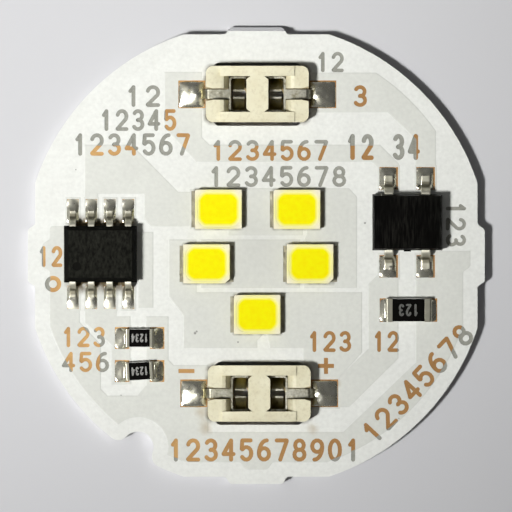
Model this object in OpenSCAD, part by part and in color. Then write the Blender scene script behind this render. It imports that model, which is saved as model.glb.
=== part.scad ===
// Round LED board of a mains lamp: a white aluminium-core board with five LEDs in series, a linear
// driver, a bridge rectifier, three chip resistors and two connectors that take pins from below.
// Millimetres, +Z up, origin in the middle of the board's back face.

/* [Board] */
// Diameter of the round board
board_d = 32; // [31.4:0.1:36]
// Distance across each pair of flats
board_flats = 30.4; // [30:0.1:31]
// How far a break-off tab stands out from its flat
tab_out = 0.5; // [0.2:0.05:0.8]
// Width of a break-off tab at its root
tab_w = 4.25; // [3.5:0.05:6]
// How much a tab narrows on each side towards its end
tab_taper = 0.32; // [0.1:0.02:0.6]
// Radius of the curves at a tab's root and end
tab_r = 0.3; // [0.15:0.05:0.35]
// Width of the bare score bevel on the upper tab
score_w = 0.27; // [0.1:0.01:0.4]
// Depth of that score bevel
score_h = 0.45; // [0.2:0.05:0.6]
// Radius of the half-round notch in the edge
notch_r = 1.08; // [0.6:0.02:1.6]
// How far the notch's centre lies inside the edge
notch_in = 0.51; // [0.2:0.01:0.8]
// Direction of the notch from the board's centre
notch_angle = 238.3; // [200:0.1:250]
// Radius of the notch's rounded lips
lip_r = 0.75; // [0.3:0.05:0.9]
// Thickness of the aluminium plate
plate_t = 1; // [0.8:0.05:1.6]
// Thickness of the insulating layer
insulation_t = 0.1; // [0.06:0.01:0.2]
// Thickness of the copper foil
copper_t = 0.035; // [0.018:0.001:0.07]
// Thickness of the white mask over the copper
mask_t = 0.03; // [0.02:0.005:0.06]
// How much lower the mask lies between the tracks
mask_sink = 0.015; // [0.005:0.001:0.018]
// Bare margin between the copper and the board's edge
edge_gap = 1.05; // [0.8:0.05:1.4]
// Gap between neighbouring tracks
track_gap = 0.42; // [0.3:0.02:0.6]
// How far the copper reaches under the mask around a pad
pad_rim = 0.06; // [0.02:0.01:0.1]
// Thickness of the solder under a lead
solder_t = 0.07; // [0.05:0.01:0.12]
// Share of a lead's or an end cap's height that its solder climbs
solder_climb = 0.8; // [0.4:0.05:0.9]

/* [Connectors] */
// Centre of the mains connector
mains_at = [0.07, 11.08]; // [-1:0.01:12]
// Centre of the capacitor connector
capacitor_at = [0.2, -9.47]; // [-11:0.01:1]
// Length of a connector housing
term_l = 7.05; // [6.6:0.05:8]
// Width of a connector housing
term_w = 3.85; // [3.5:0.05:4.2]
// Height of a connector housing above the board
term_h = 1.4; // [1.2:0.05:1.8]
// Length of the part of the housing that sits in the board's slot
term_sunk_l = 5.5; // [5.2:0.05:6]
// Gap between the housing and its slot
slot_gap = 0.24; // [0.1:0.02:0.3]
// Corner radius of the slot
slot_r = 0.35; // [0.2:0.05:0.6]
// How far the housing's underside lies above the board's back face
term_back_gap = 0.1; // [0.05:0.05:0.3]
// Corner radius of the housing
term_r = 0.5; // [0.2:0.05:0.8]
// Length of the raised frame on the housing's top
frame_l = 5.1; // [4.8:0.05:5.4]
// Height of that raised frame
frame_step = 0.1; // [0.05:0.01:0.2]
// Distance between the two pins
pin_pitch = 2.54; // [2.4:0.02:2.7]
// Diameter of a pin hole
pin_hole_d = 1; // [0.8:0.05:1]
// Depth of the flare at the mouth of a pin hole
pin_flare = 0.2; // [0.1:0.05:0.3]
// Thickness of the housing's floor
term_floor_t = 0.5; // [0.4:0.05:0.7]
// Width of the bar between the two contact windows
centre_bar_w = 1.5; // [1.3:0.05:1.6]
// Width of a contact window
window_w = 2.46; // [2.2:0.02:2.6]
// Distance between the outer ends of the two windows
window_span = 3.92; // [3.8:0.02:4.1]
// Width of the channel for a contact's tail
channel_w = 0.79; // [0.65:0.01:1]
// Height of a contact's tail above the board
tail_level = 0.45; // [0.35:0.05:0.7]
// Gap between a contact's tail and the channel's floor
tail_gap = 0.12; // [0.05:0.01:0.2]
// Length of the channel's mouth, where the tail bends down
mouth_l = 0.45; // [0.3:0.05:0.6]
// How much the mouth opens on each side
mouth_out = 0.12; // [0.05:0.01:0.2]
// Run of the steep slope from a window up to the housing's lobe
pocket_run = 0.34; // [0.2:0.02:0.45]
// Depth at which that slope turns shallow
pocket_dip = 0.12; // [0.05:0.01:0.2]
// Thickness of the contact strip
strip_t = 0.13; // [0.1:0.01:0.16]
// Width of a contact's tail
tail_w = 0.64; // [0.4:0.02:0.64]
// How far a contact's foot reaches past the housing
tail_out = 1.2; // [1:0.05:1.5]
// Width of a spring leaf
leaf_w = 0.75; // [0.5:0.05:0.9]
// Gap between the two leaves that grip a pin
leaf_gap = 0.36; // [0.1:0.02:0.5]
// Gap between a connector housing and its solder pads
term_pad_gap = 0.04; // [0.02:0.01:0.2]
// Length of a connector's solder pad
term_pad_l = 1.86; // [1.5:0.02:2.2]
// Width of a connector's solder pad
term_pad_w = 1.9; // [1.4:0.02:2.2]

/* [LEDs] */
// Centre of LED 1
led_1_at = [-2.6, 3.18]; // [-4:0.01:4]
// Centre of LED 2
led_2_at = [2.79, 3.17]; // [-4:0.01:4]
// Centre of LED 3
led_3_at = [-3.41, -0.57]; // [-4:0.01:4]
// Centre of LED 4
led_4_at = [3.7, -0.57]; // [-4:0.01:4]
// Centre of LED 5
led_5_at = [0.07, -4.05]; // [-5:0.01:4]
// Length of an LED housing
led_l = 3.2; // [3:0.05:3.5]
// Width of an LED housing
led_w = 2.7; // [2.5:0.05:2.9]
// Height of an LED
led_h = 0.72; // [0.6:0.02:0.9]
// Cut at the corner that marks the cathode of LEDs 3 and 4
led_corner = 0.32; // [0.2:0.02:0.6]
// The same cut on the other LEDs, which show it less
led_corner_faint = 0.1; // [0.06:0.02:0.3]
// Length of the light window
led_window_l = 2.92; // [2.4:0.02:2.96]
// Width of the light window
led_window_w = 2.42; // [1.8:0.02:2.46]
// Corner radius of the light window
led_window_r = 0.5; // [0.2:0.02:0.7]
// How far the cup's walls lean in at its floor
led_lean = 0.22; // [0.1:0.02:0.3]
// How far the phosphor lies below the rim
led_dip = 0.03; // [0.01:0.01:0.08]
// Thickness of the lead frame
led_frame_t = 0.2; // [0.15:0.01:0.25]
// Width of the lead frame
led_frame_w = 2.3; // [1.8:0.05:2.4]
// How far a lead stands out at each end
led_lead_out = 0.12; // [0.05:0.01:0.2]
// Distance of the parting of the two leads from the LED's centre
led_split = 0.55; // [0.4:0.05:0.7]
// Gap between the two leads
led_lead_gap = 0.42; // [0.3:0.02:0.6]
// Width of an LED's solder pads
led_pad_w = 2.5; // [2.4:0.02:2.6]
// How far a solder pad reaches past the leads
led_pad_out = 0.14; // [0.1:0.02:0.3]
// Length of the LED chip
led_chip_l = 1; // [0.6:0.05:1.2]
// Width of the LED chip
led_chip_w = 0.6; // [0.4:0.05:0.9]
// Height of the LED chip
led_chip_h = 0.15; // [0.1:0.01:0.2]

/* [Driver] */
// Centre of the driver
driver_at = [-10.7, 0.1]; // [-12:0.01:2]
// Length of the driver's body
driver_l = 5; // [4.8:0.05:5.2]
// Width of the driver's body
driver_w = 3.9; // [3.7:0.05:4.1]
// Height of the driver's body
driver_h = 1.45; // [1.3:0.05:1.6]
// Gap below the driver's body
driver_gap = 0.08; // [0.05:0.01:0.15]
// How far the driver's top face is drawn in by the mould's draft
driver_draft = 0.32; // [0.1:0.02:0.4]
// Distance between the driver's leads
driver_pitch = 1.27; // [1.2:0.01:1.3]
// Width of a driver lead
driver_lead_w = 0.45; // [0.35:0.01:0.5]
// Distance across the tips of the driver's leads
driver_span = 6; // [5.8:0.05:6.3]
// Length of a driver lead's foot
driver_foot = 0.62; // [0.4:0.02:0.8]
// Width of a driver pad
driver_pad_w = 0.8; // [0.55:0.01:0.84]
// Distance across the driver's pads
driver_pad_span = 7.55; // [7:0.05:7.8]
// Length of the driver's heat pad
heat_pad_l = 3.3; // [2.5:0.05:3.6]
// Width of the driver's heat pad
heat_pad_w = 2.4; // [1.8:0.05:2.6]
// Diameter of the dimple beside pin 1
dimple_d = 0.6; // [0.4:0.05:0.8]
// Depth of that dimple
dimple_h = 0.06; // [0.03:0.01:0.1]
// Distances of that dimple from the body's end and side
dimple_in = [0.9, 1.1]; // [0.7:0.05:1.5]

/* [Rectifier] */
// Centre of the rectifier
rectifier_at = [10.37, 2.28]; // [0:0.01:12]
// Length of the rectifier's body
rectifier_l = 4.8; // [4.6:0.05:5]
// Width of the rectifier's body
rectifier_w = 3.85; // [3.6:0.05:4]
// Height of the rectifier's body
rectifier_h = 1.35; // [1.2:0.05:1.5]
// Gap below the rectifier's body
rectifier_gap = 0.08; // [0.05:0.01:0.15]
// How far the rectifier's top face is drawn in by the mould's draft
rectifier_draft = 0.12; // [0.05:0.01:0.2]
// Width, reach and height of the stub that the mould's gate leaves on the rectifier's side
gate_stub = [0.5, 0.08, 0.24]; // [0.05:0.01:0.6]
// Distance between the rectifier's leads
rectifier_pitch = 2.54; // [2.4:0.02:2.6]
// Width of a rectifier lead
rectifier_lead_w = 0.62; // [0.5:0.02:0.75]
// Distance across the tips of the rectifier's leads
rectifier_span = 6.5; // [6.2:0.05:6.8]
// Length of a rectifier lead's foot
rectifier_foot = 0.8; // [0.5:0.05:0.9]
// Width of a rectifier pad
rectifier_pad_w = 1.27; // [1:0.02:1.4]
// Distance across the rectifier's pads
rectifier_pad_span = 7.6; // [7.2:0.05:8]
// Thickness of the driver's and the rectifier's leads
lead_t = 0.2; // [0.15:0.01:0.25]

/* [Resistors] */
// Centre of the bleed resistor
bleed_at = [10.46, -3.75]; // [-5:0.01:12]
// Length, width and height of the bleed resistor
bleed_size = [3.15, 1.6, 0.55]; // [0.4:0.05:4]
// Distance across the bleed resistor's pads
bleed_pad_span = 3.95; // [3.7:0.05:4.4]
// Width of the bleed resistor's pads
bleed_pad_w = 1.62; // [1.4:0.02:2]
// Centre of sense resistor 1
sense_1_at = [-8.02, -5.67]; // [-10:0.01:0]
// Centre of sense resistor 2
sense_2_at = [-8.02, -7.94]; // [-10:0.01:0]
// How far sense resistor 2 was soldered askew
sense_2_turn = 3.5; // [-6:0.5:6]
// Length, width and height of a sense resistor
sense_size = [2, 1.25, 0.5]; // [0.4:0.05:3]
// Distance across a sense resistor's pads
sense_pad_span = 3.4; // [3:0.05:3.8]
// Width of a sense resistor's pads
sense_pad_w = 1.5; // [1.25:0.02:1.6]
// Share of a resistor's length that one end cap covers
cap_share = 0.15; // [0.12:0.01:0.2]
// Thickness of a resistor's end caps
cap_t = 0.04; // [0.03:0.01:0.06]
// Thickness of a resistor's black cover
cover_t = 0.06; // [0.05:0.01:0.08]
// Pale rim of ceramic beside the black cover
cover_rim = 0.03; // [0.02:0.01:0.15]

/* [Hidden] */
LED_COUNT = 5;
LED_PARTS = ["housing", "frame", "chip", "phosphor", "solder"];
RESISTORS = ["bleed_resistor", "sense_resistor_1", "sense_resistor_2"];
RESISTOR_PARTS = ["ceramic", "cover", "caps", "solder"];
BOARD_NODES = ["aluminium_plate", "insulating_layer", "copper_tracks", "solder_mask"];
CONNECTOR_NODES = [
    "mains_housing", "live_contact", "neutral_contact", "mains_solder",
    "capacitor_housing", "minus_contact", "plus_contact", "capacitor_solder"
];
PACKAGE_NODES = [
    "driver_body", "driver_leads", "driver_heat_pad", "driver_solder",
    "rectifier_body", "rectifier_leads", "rectifier_solder"
];
function led_node(i, part) = str("led_", i + 1, "_", part);
function resistor_node(i, part) = str(RESISTORS[i], "_", part);
$fn = 48;

// Spare height of a cutting shape
spare = 1;
// Steps in a bend or a rounded lip
bend_steps = 5;
// Radius of a bend in strip metal at mid-thickness, as a multiple of its thickness
bend_ratio = 1.7;
// The same ratio at the nose of a spring leaf
nose_ratio = 0.8;

// Heights of the board's layers, and of the faces that parts stand on
insulation_z = plate_t;
copper_z = insulation_z + insulation_t;
pad_z = copper_z + copper_t;
mask_top_z = pad_z + mask_t;
mask_low_z = mask_top_z - mask_sink;
foot_z = pad_z + solder_t;

// The notch and the two circles that round its lips
board_r = board_d / 2;
notch_from_centre = board_r - notch_in;
notch_at = notch_from_centre * [cos(notch_angle), sin(notch_angle)];
lip_from_centre = board_r - lip_r;
lip_turn = acos(
    (pow(notch_from_centre, 2) + pow(lip_from_centre, 2) - pow(notch_r + lip_r, 2))
    / (2 * notch_from_centre * lip_from_centre)
);
tab_end = board_flats / 2 + tab_out;

// Sizes of the connectors and of their slots
slot_l = term_sunk_l + 2 * slot_gap;
slot_w = term_w + 2 * slot_gap;
term_bottom = term_back_gap - mask_top_z;
term_floor = term_bottom + term_floor_t;
lobe_top = term_h - frame_step;
// Narrowing of the centre bar at its ends, and the length of that slope
bar_neck = 0.28;
bar_shoulder = 0.23;
// Play between a contact and its window
contact_play = 0.02;
cage_top = tail_level + strip_t;
term_pad_in = term_l / 2 + term_pad_gap;

// LED places; the cathode points to +X or -X
led_at = [led_1_at, led_2_at, led_3_at, led_4_at, led_5_at];
cathode_side = [-1, -1, 1, 1, -1];
led_pad_end = led_l / 2 + led_lead_out + led_pad_out;
function led_turn(i) = cathode_side[i] > 0 ? 0 : 180;
function corner_cut(i) = cathode_side[i] > 0 ? led_corner : led_corner_faint;
function split_x(i) = led_at[i].x - cathode_side[i] * led_split;

// Resistor places and sizes, in the order of RESISTORS
resistor_at = [bleed_at, sense_1_at, sense_2_at];
resistor_turn = [0, 0, sense_2_turn];
resistor_size = [bleed_size, sense_size, sense_size];
resistor_pad_span = [bleed_pad_span, sense_pad_span, sense_pad_span];
resistor_pad_w = [bleed_pad_w, sense_pad_w, sense_pad_w];
function resistor_cap(i) = cap_share * resistor_size[i].x;

// Depth of the pads behind the foot of a gull-wing lead
pad_heel = 0.2;
// Depth to which a lead is held in its moulded body
lead_hold = 0.35;
// Length of a lead's level shoulder outside its body
lead_shoulder = 0.18;

// Functions for strips of even thickness along a bent line
function unit(v) = v / norm(v);
function left_of(v) = [-v.y, v.x];
function reversed(list) = [for (i = [len(list) - 1:-1:0]) list[i]];
function bend(a, p, b, r) =
    let (u = unit(a - p), w = unit(b - p), reach = r / tan(acos(u * w) / 2))
    [for (k = [0:bend_steps]) let (t = k / bend_steps)
        p + u * reach * pow(1 - t, 2) + w * reach * pow(t, 2)];
function bent_path(path, r) = concat(
    [path[0]],
    [for (i = [1:len(path) - 2]) each bend(path[i - 1], path[i], path[i + 1], r)],
    [path[len(path) - 1]]
);
function strip_side(path, off) = [
    for (i = [0:len(path) - 1])
        let (
            into = unit(i == 0 ? path[1] - path[0] : path[i] - path[i - 1]),
            away = unit(i == len(path) - 1 ? into : path[i + 1] - path[i]),
            n = unit(left_of(into) + left_of(away))
        )
        path[i] + n * off / (n * left_of(away))
];
module strip(path, t, ratio = bend_ratio) {
    line = bent_path(path, t * ratio);
    polygon(concat(strip_side(line, t / 2), reversed(strip_side(line, -t / 2))));
}

// A profile drawn in X and Z, as thick as w along Y, centred on Y = 0
module across(w) translate([0, w / 2, 0]) rotate([90, 0, 0]) linear_extrude(w) children();

module at(place, turn = 0) translate(place) rotate(turn) children();
module on_both_sides() for (turn = [0, 180]) rotate(turn) children();
module raised(z) translate([0, 0, z]) children();

module rounded_rect(l, w, r) {
    square([l - 2 * r, w], center = true);
    square([l, w - 2 * r], center = true);
    for (x = [-1, 1], y = [-1, 1]) translate([x * (l / 2 - r), y * (w / 2 - r)]) circle(r);
}

// Board outline

module tab_outline(inset) {
    root = tab_w / 2 - inset;
    end = tab_end - inset;
    flat = board_flats / 2 - inset;
    half = bent_path([[root + spare, flat], [root, flat], [root - tab_taper, end], [0, end]], tab_r);
    polygon(concat([[0, 0]], half, reversed([for (p = half) [-p.x, p.y]])));
}

module notch_lip(side) {
    turn = notch_angle + side * lip_turn;
    lip_at = lip_from_centre * [cos(turn), sin(turn)];
    to_notch = unit(notch_at - lip_at);
    sweep = side * acos(to_notch * [cos(turn), sin(turn)]);
    polygon(concat(
        [for (k = [0:bend_steps]) let (a = turn - sweep * k / bend_steps)
            lip_at + lip_r * [cos(a), sin(a)]],
        [notch_at, (board_r + spare) * unit(notch_at), (board_r + spare) * unit(lip_at)]
    ));
}

module board_outline(inset = 0) difference() {
    union() {
        intersection() {
            circle(board_r - inset, $fn = 180);
            square(board_flats - 2 * inset, center = true);
        }
        for (turn = [0:90:270]) rotate(turn) tab_outline(inset);
    }
    translate(notch_at) circle(notch_r + inset);
    if (inset == 0) for (side = [-1, 1]) notch_lip(side);
}

module slots(grow = 0)
    for (place = [mains_at, capacitor_at])
        at(place) rounded_rect(slot_l + 2 * grow, slot_w + 2 * grow, slot_r + grow);

// The strip of the upper tab that the score leaves bare
module score_strip() translate([-tab_w, tab_end - score_w]) square([2 * tab_w, spare]);

module board_plan() difference() {
    board_outline();
    slots();
    score_strip();
}

// Solder pads, which are also the openings in the mask

module term_pads(grow) on_both_sides()
    translate([term_pad_in + term_pad_l / 2, 0])
        square([term_pad_l + 2 * grow, term_pad_w + 2 * grow], center = true);

module gull_pads(count, pitch, w, inner, outer, grow) on_both_sides()
    for (k = [0:count - 1])
        translate([(k - (count - 1) / 2) * pitch, (inner + outer) / 2])
            square([w + 2 * grow, outer - inner + 2 * grow], center = true);

module driver_pads(grow) {
    inner = driver_span / 2 - driver_foot - pad_heel;
    gull_pads(4, driver_pitch, driver_pad_w, inner, driver_pad_span / 2, grow);
    square([heat_pad_l + 2 * grow, heat_pad_w + 2 * grow], center = true);
}

module rectifier_pads(grow) {
    inner = rectifier_span / 2 - rectifier_foot - pad_heel;
    gull_pads(2, rectifier_pitch, rectifier_pad_w, inner, rectifier_pad_span / 2, grow);
}

module resistor_pads(i, grow) on_both_sides() {
    inner = resistor_size[i].x / 2 - resistor_cap(i);
    l = resistor_pad_span[i] / 2 - inner;
    translate([inner + l / 2, 0])
        square([l + 2 * grow, resistor_pad_w[i] + 2 * grow], center = true);
}

module led_pads(grow) for (side = [-1, 1]) {
    inner = side * led_lead_gap / 2 - led_split;
    outer = side * led_pad_end;
    translate([(inner + outer) / 2, 0])
        square([abs(outer - inner) + 2 * grow, led_pad_w + 2 * grow], center = true);
}

module pads(grow = 0) {
    for (place = [mains_at, capacitor_at]) at(place) term_pads(grow);
    at(driver_at) driver_pads(grow);
    at(rectifier_at) rectifier_pads(grow);
    for (i = [0:len(RESISTORS) - 1]) at(resistor_at[i]) resistor_pads(i, grow);
    for (i = [0:LED_COUNT - 1]) at(led_at[i], led_turn(i)) led_pads(grow);
}

// Tracks: lines of the layout that several islands share
half_gap = track_gap / 2;
field_top = 4.55;
drain_top = 4.3;
field_left = -5.95;
field_right = 6.85;
field_bottom = -6.3;
upper_gap_y = 1.24;
lower_gap_y = -2.38;
bus_top = 7.55;
bus_bottom = 6.5;
plus_left = 7.75;
plus_right = 9.7;
ground_in = 11.02;

function rect_points(x0, y0, x1, y1) = [[x0, y0], [x1, y0], [x1, y1], [x0, y1]];
function driver_pad_x(k) = driver_at.x + (k - 1.5) * driver_pitch;
function driver_pad_y(side) = driver_at.y + side * (driver_span / 2 - driver_foot);
function rectifier_pad_x(side) = rectifier_at.x + side * rectifier_pitch / 2;
function rectifier_pad_y(side) = rectifier_at.y + side * (rectifier_span / 2 - rectifier_foot);

module live_track() {
    x = rectifier_pad_x(-1);
    end = rectifier_pad_w / 2;
    y = rectifier_pad_y(1);
    polygon([
        [-6.25, 12.55], [-3.8, 12.55], [-3.8, 8.1], [-3.25, bus_top], [x - end, bus_top],
        [x + end, bus_top - 2 * end], [x + end, y], [x - end, y], [x - end, bus_bottom - 0.5],
        [x - end - 0.5, bus_bottom], [-4.1, bus_bottom], [-6.25, 8.8]
    ]);
}

module neutral_track() {
    x = rectifier_pad_x(1);
    end = rectifier_pad_w / 2;
    polygon([
        [3.9, 12.5], [x + end, 12.5], [x + end, rectifier_pad_y(1)],
        [x - end, rectifier_pad_y(1)], [x - end, 8], [9.05, 9.9], [3.9, 9.9]
    ]);
}

module drain_track() {
    x = driver_pad_x(1);
    half = driver_pad_w / 2;
    polygon([
        [x - half, bus_top], [-8.6, bus_top], [-5.4, drain_top],
        [split_x(0) - half_gap, drain_top],
        [split_x(0) - half_gap, 2.05], [-7.2, 2.05], [-7.65, 2.5], [-7.65, drain_top],
        [x + half, drain_top], [x + half, driver_pad_y(1)], [x - half, driver_pad_y(1)]
    ]);
}

module led_tracks() {
    polygon(rect_points(
        split_x(0) + half_gap, upper_gap_y + half_gap, split_x(1) - half_gap, field_top
    ));
    polygon([
        [split_x(1) + half_gap, field_top], [field_right - 0.5, field_top],
        [field_right, field_top - 0.55], [field_right, lower_gap_y + half_gap],
        [split_x(3) + half_gap, lower_gap_y + half_gap],
        [split_x(3) + half_gap, upper_gap_y - half_gap],
        [split_x(1) + half_gap, upper_gap_y + half_gap]
    ]);
    polygon(rect_points(
        split_x(2) + half_gap, lower_gap_y + half_gap, split_x(3) - half_gap, upper_gap_y - half_gap
    ));
    polygon([
        [field_left, upper_gap_y - half_gap], [split_x(2) - half_gap, upper_gap_y - half_gap],
        [split_x(2) - half_gap, lower_gap_y - half_gap], [split_x(4) - half_gap, lower_gap_y - half_gap],
        [split_x(4) - half_gap, led_5_at.y - led_w / 2], [0, field_bottom + 0.5],
        [0, field_bottom], [-4.95, field_bottom], [-4.95, -4.1], [field_left, -2.8]
    ]);
}

module plus_track() {
    end = capacitor_at.x + term_pad_in + term_pad_l;
    low = capacitor_at.y - term_pad_w / 2;
    polygon([
        [split_x(4) + half_gap, lower_gap_y - half_gap], [7.2, lower_gap_y - half_gap],
        [7.2, -6.65], [end, -8.4], [end, low], [end - term_pad_l, low], [3.3, -7], [3.3, field_bottom],
        [1, field_bottom], [split_x(4) + half_gap, led_5_at.y - led_w / 2]
    ]);
}

module plus_trunk() {
    end = capacitor_at.x + term_pad_in + term_pad_l;
    polygon([
        [rectifier_pad_x(-1) - rectifier_pad_w / 2, rectifier_pad_y(-1)],
        [plus_right, rectifier_pad_y(-1)],
        [plus_right, -7.05], [6.35, -10.35], [end - spare, -10.35], [end - spare, -8.55], [end, -8.55],
        [plus_left, -6.45], [plus_left, -2], [rectifier_pad_x(-1) - rectifier_pad_w / 2, -1.3]
    ]);
}

module ground_track() {
    left = driver_pad_x(0);
    right = driver_pad_x(3) + 0.75;
    pad_low = driver_pad_y(-1) + pad_heel;
    polygon([
        [-14.05, 1.95], [-12.9, 1.95], [-12.9, 1.55], [-7.15, 1.55], [-7.15, -3.55],
        [right, -3.55], [right, pad_low + track_gap], [left + driver_pad_w / 2, pad_low + track_gap],
        [left + driver_pad_w / 2, -4.6], [-10.75, -6.15], [-10.75, -9.2], [-10.25, -9.7], [-8.15, -9.7],
        [-7.5, -8.95], [-7.5, -4.25], [-6.1, -4.25], [-6.1, -7.2], [-5.7, -7.6],
        [capacitor_at.x - term_pad_in, -7.6], [capacitor_at.x - term_pad_in, -12.2],
        [6, -12.2], [ground_in, -7.4], [ground_in, rectifier_pad_y(-1)],
        [rectifier_pad_x(1) + rectifier_pad_w / 2, rectifier_pad_y(-1)],
        [rectifier_pad_x(1) + rectifier_pad_w / 2, 0.25], [board_r, 0.25], [board_r, -board_r],
        [-board_r, -board_r], [-board_r, 1.1], [-14.6, 1.1]
    ]);
}

module sense_track() {
    half = driver_pad_w / 2;
    x = driver_pad_x(1);
    right = sense_1_at.x - sense_size.x / 2 + resistor_cap(1);
    polygon([
        [x - half, driver_pad_y(-1)], [driver_pad_x(2) + half, driver_pad_y(-1)],
        [driver_pad_x(2) + half, -4.25], [right, -4.25], [right, -8.8], [-9.9, -8.8], [-9.9, -6.1],
        [x - half, -4.6]
    ]);
}

// Every copper island, h thick, on Z = 0
module copper(h) intersection() {
    linear_extrude(h) difference() {
        board_outline(edge_gap);
        slots(half_gap);
    }
    union() {
        linear_extrude(h) live_track();
        linear_extrude(h) neutral_track();
        linear_extrude(h) drain_track();
        linear_extrude(h) led_tracks();
        linear_extrude(h) plus_track();
        linear_extrude(h) plus_trunk();
        linear_extrude(h) ground_track();
        linear_extrude(h) sense_track();
        linear_extrude(h) pads(pad_rim);
    }
}

// Layers of the board

module aluminium_plate() color("silver") difference() {
    linear_extrude(plate_t) difference() {
        board_outline();
        slots();
    }
    translate([0, tab_end, plate_t]) rotate(90) across(2 * tab_w)
        polygon([[-score_w, 0], [spare, 0], [spare, -score_h], [0, -score_h]]);
}

module insulating_layer() color("darkgray")
    raised(insulation_z) linear_extrude(insulation_t) board_plan();

module copper_tracks() color("peru")
    raised(copper_z) copper(copper_t);

module solder_mask() color("white") difference() {
    union() {
        raised(copper_z) linear_extrude(mask_low_z - copper_z) board_plan();
        raised(copper_z) copper(mask_top_z - copper_z);
    }
    raised(copper_z) copper(copper_t);
    raised(copper_z) linear_extrude(spare) pads();
}

// Connectors; each is drawn around its own centre with the board's face at Z = 0

module window_plan() {
    inner = centre_bar_w / 2;
    outer = window_span / 2;
    side = window_w / 2;
    polygon([
        [inner, side - bar_shoulder], [inner - bar_neck, side], [outer, side],
        [outer, -side], [inner - bar_neck, -side], [inner, bar_shoulder - side]
    ]);
}

module channel_plan() {
    side = channel_w / 2;
    mouth = term_l / 2 - mouth_l;
    half = [
        [window_span / 2 - spare / 2, side], [mouth, side], [mouth + 2 * mouth_l, side + 2 * mouth_out]
    ];
    polygon(concat(half, reversed([for (p = half) [p.x, -p.y]])));
}

module term_housing(place, shade) color(shade) at(place) raised(mask_top_z) difference() {
    union() {
        linear_extrude(lobe_top) rounded_rect(term_l, term_w, term_r);
        linear_extrude(term_h) square([frame_l, term_w], center = true);
        raised(term_bottom) linear_extrude(-term_bottom) rounded_rect(term_sunk_l, term_w, slot_r);
    }
    on_both_sides() {
        raised(term_floor) linear_extrude(term_h - term_floor + spare) window_plan();
        across(window_w) polygon([
            [window_span / 2 - spare / 2, cage_top], [window_span / 2, cage_top],
            [window_span / 2 + pocket_run, lobe_top - pocket_dip],
            [frame_l / 2, lobe_top], [frame_l / 2, term_h + spare],
            [window_span / 2 - spare / 2, term_h + spare]
        ]);
        raised(tail_level - tail_gap) linear_extrude(term_h) channel_plan();
        across(channel_w) polygon([
            [term_l / 2 - mouth_l, tail_level], [term_l / 2 - mouth_l, tail_level - tail_gap],
            [term_l / 2, 0], [term_l / 2 + spare, 0], [term_l / 2 + spare, tail_level]
        ]);
        translate([pin_pitch / 2, 0, term_bottom]) {
            raised(-spare) cylinder(h = term_floor_t + 2 * spare, d = pin_hole_d);
            raised(-pin_flare) cylinder(
                h = 2 * pin_flare, d1 = pin_hole_d + 4 * pin_flare, d2 = pin_hole_d
            );
        }
    }
}

module contact_tail() {
    level = tail_level + strip_t / 2;
    sole = foot_z - mask_top_z + strip_t / 2;
    end = term_l / 2;
    across(tail_w) strip([
        [window_span / 2 - strip_t, level], [end - mouth_l / 4, level],
        [end + mouth_l / 2, sole], [end + tail_out, sole]
    ], strip_t);
}

module contact_cage() {
    back = window_span / 2 - contact_play - strip_t / 2;
    side = window_w / 2 - contact_play - strip_t / 2;
    front = centre_bar_w / 2 + contact_play;
    raised(term_floor) linear_extrude(cage_top - term_floor)
        strip([[front, side], [back, side], [back, -side], [front, -side]], strip_t);
}

module contact_leaf() {
    side = window_w / 2 - contact_play - strip_t / 2;
    grip = (leaf_gap + strip_t) / 2;
    translate([pin_pitch / 2, 0, 0]) rotate(90) across(leaf_w)
        strip([
            [side, term_floor + 2 * strip_t], [grip, cage_top - 2 * strip_t], [grip, cage_top]
        ], strip_t, nose_ratio);
}

module contact(place, turn) color("lightgray") at(place, turn) raised(mask_top_z) {
    contact_tail();
    contact_cage();
    contact_leaf();
    mirror([0, 1, 0]) contact_leaf();
}

module term_solder(place) color("gainsboro") at(place) on_both_sides() difference() {
    skirt = 0.03;
    near = term_pad_in + skirt;
    hull() {
        translate([near, -term_pad_w / 2 + skirt, pad_z])
            cube([term_pad_l - 2 * skirt, term_pad_w - 2 * skirt, solder_t]);
        translate([near, -tail_w / 2, pad_z])
            cube([tail_out, tail_w, foot_z - pad_z + 2 * strip_t]);
    }
    raised(mask_top_z) contact_tail();
}

// Moulded packages with gull-wing leads; each is drawn around its centre with its feet at Z = 0

module moulded_body(l, w, h, gap, draft, part_z) {
    skin = 0.01;
    hull() {
        raised(gap) linear_extrude(skin) square([l - draft, w - draft], center = true);
        raised(part_z) linear_extrude(skin) square([l, w], center = true);
        raised(gap + h - skin) linear_extrude(skin) square([l - 2 * draft, w - 2 * draft], center = true);
    }
}

module gull_leads(count, pitch, w, body_w, span, foot, exit_z) on_both_sides()
    for (k = [0:count - 1])
        translate([(k - (count - 1) / 2) * pitch, 0, 0]) rotate(90) across(w)
            strip([
                [body_w / 2 - lead_hold, exit_z], [body_w / 2 + lead_shoulder, exit_z],
                [span / 2 - foot, lead_t / 2], [span / 2, lead_t / 2]
            ], lead_t);

// A fillet of solder from the end of a lead down to the end of its pad, and the solder under the lead
module solder_fillet(inner, lead_end, outer, rise, w) across(w) polygon(concat(
    [[inner, 0], [outer, 0]],
    [for (k = [0:bend_steps]) let (t = k / bend_steps)
        [outer + (lead_end - outer) * t, solder_t / 2 + (rise + solder_t / 2) * pow(t, 2)]],
    [[lead_end, solder_t], [inner, solder_t]]
));

module gull_solder(count, pitch, w, span, foot, pad_span) on_both_sides()
    for (k = [0:count - 1])
        translate([(k - (count - 1) / 2) * pitch, 0, 0]) rotate(90)
            solder_fillet(span / 2 - foot - pad_heel, span / 2, pad_span / 2, lead_t * solder_climb, w);

driver_exit_z = driver_gap + driver_h / 2;
rectifier_exit_z = rectifier_gap + rectifier_h / 2;

module driver_lead_shapes()
    gull_leads(4, driver_pitch, driver_lead_w, driver_w, driver_span, driver_foot, driver_exit_z);

module driver_slug() linear_extrude(driver_gap + lead_t) square([heat_pad_l, heat_pad_w], center = true);

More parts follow.
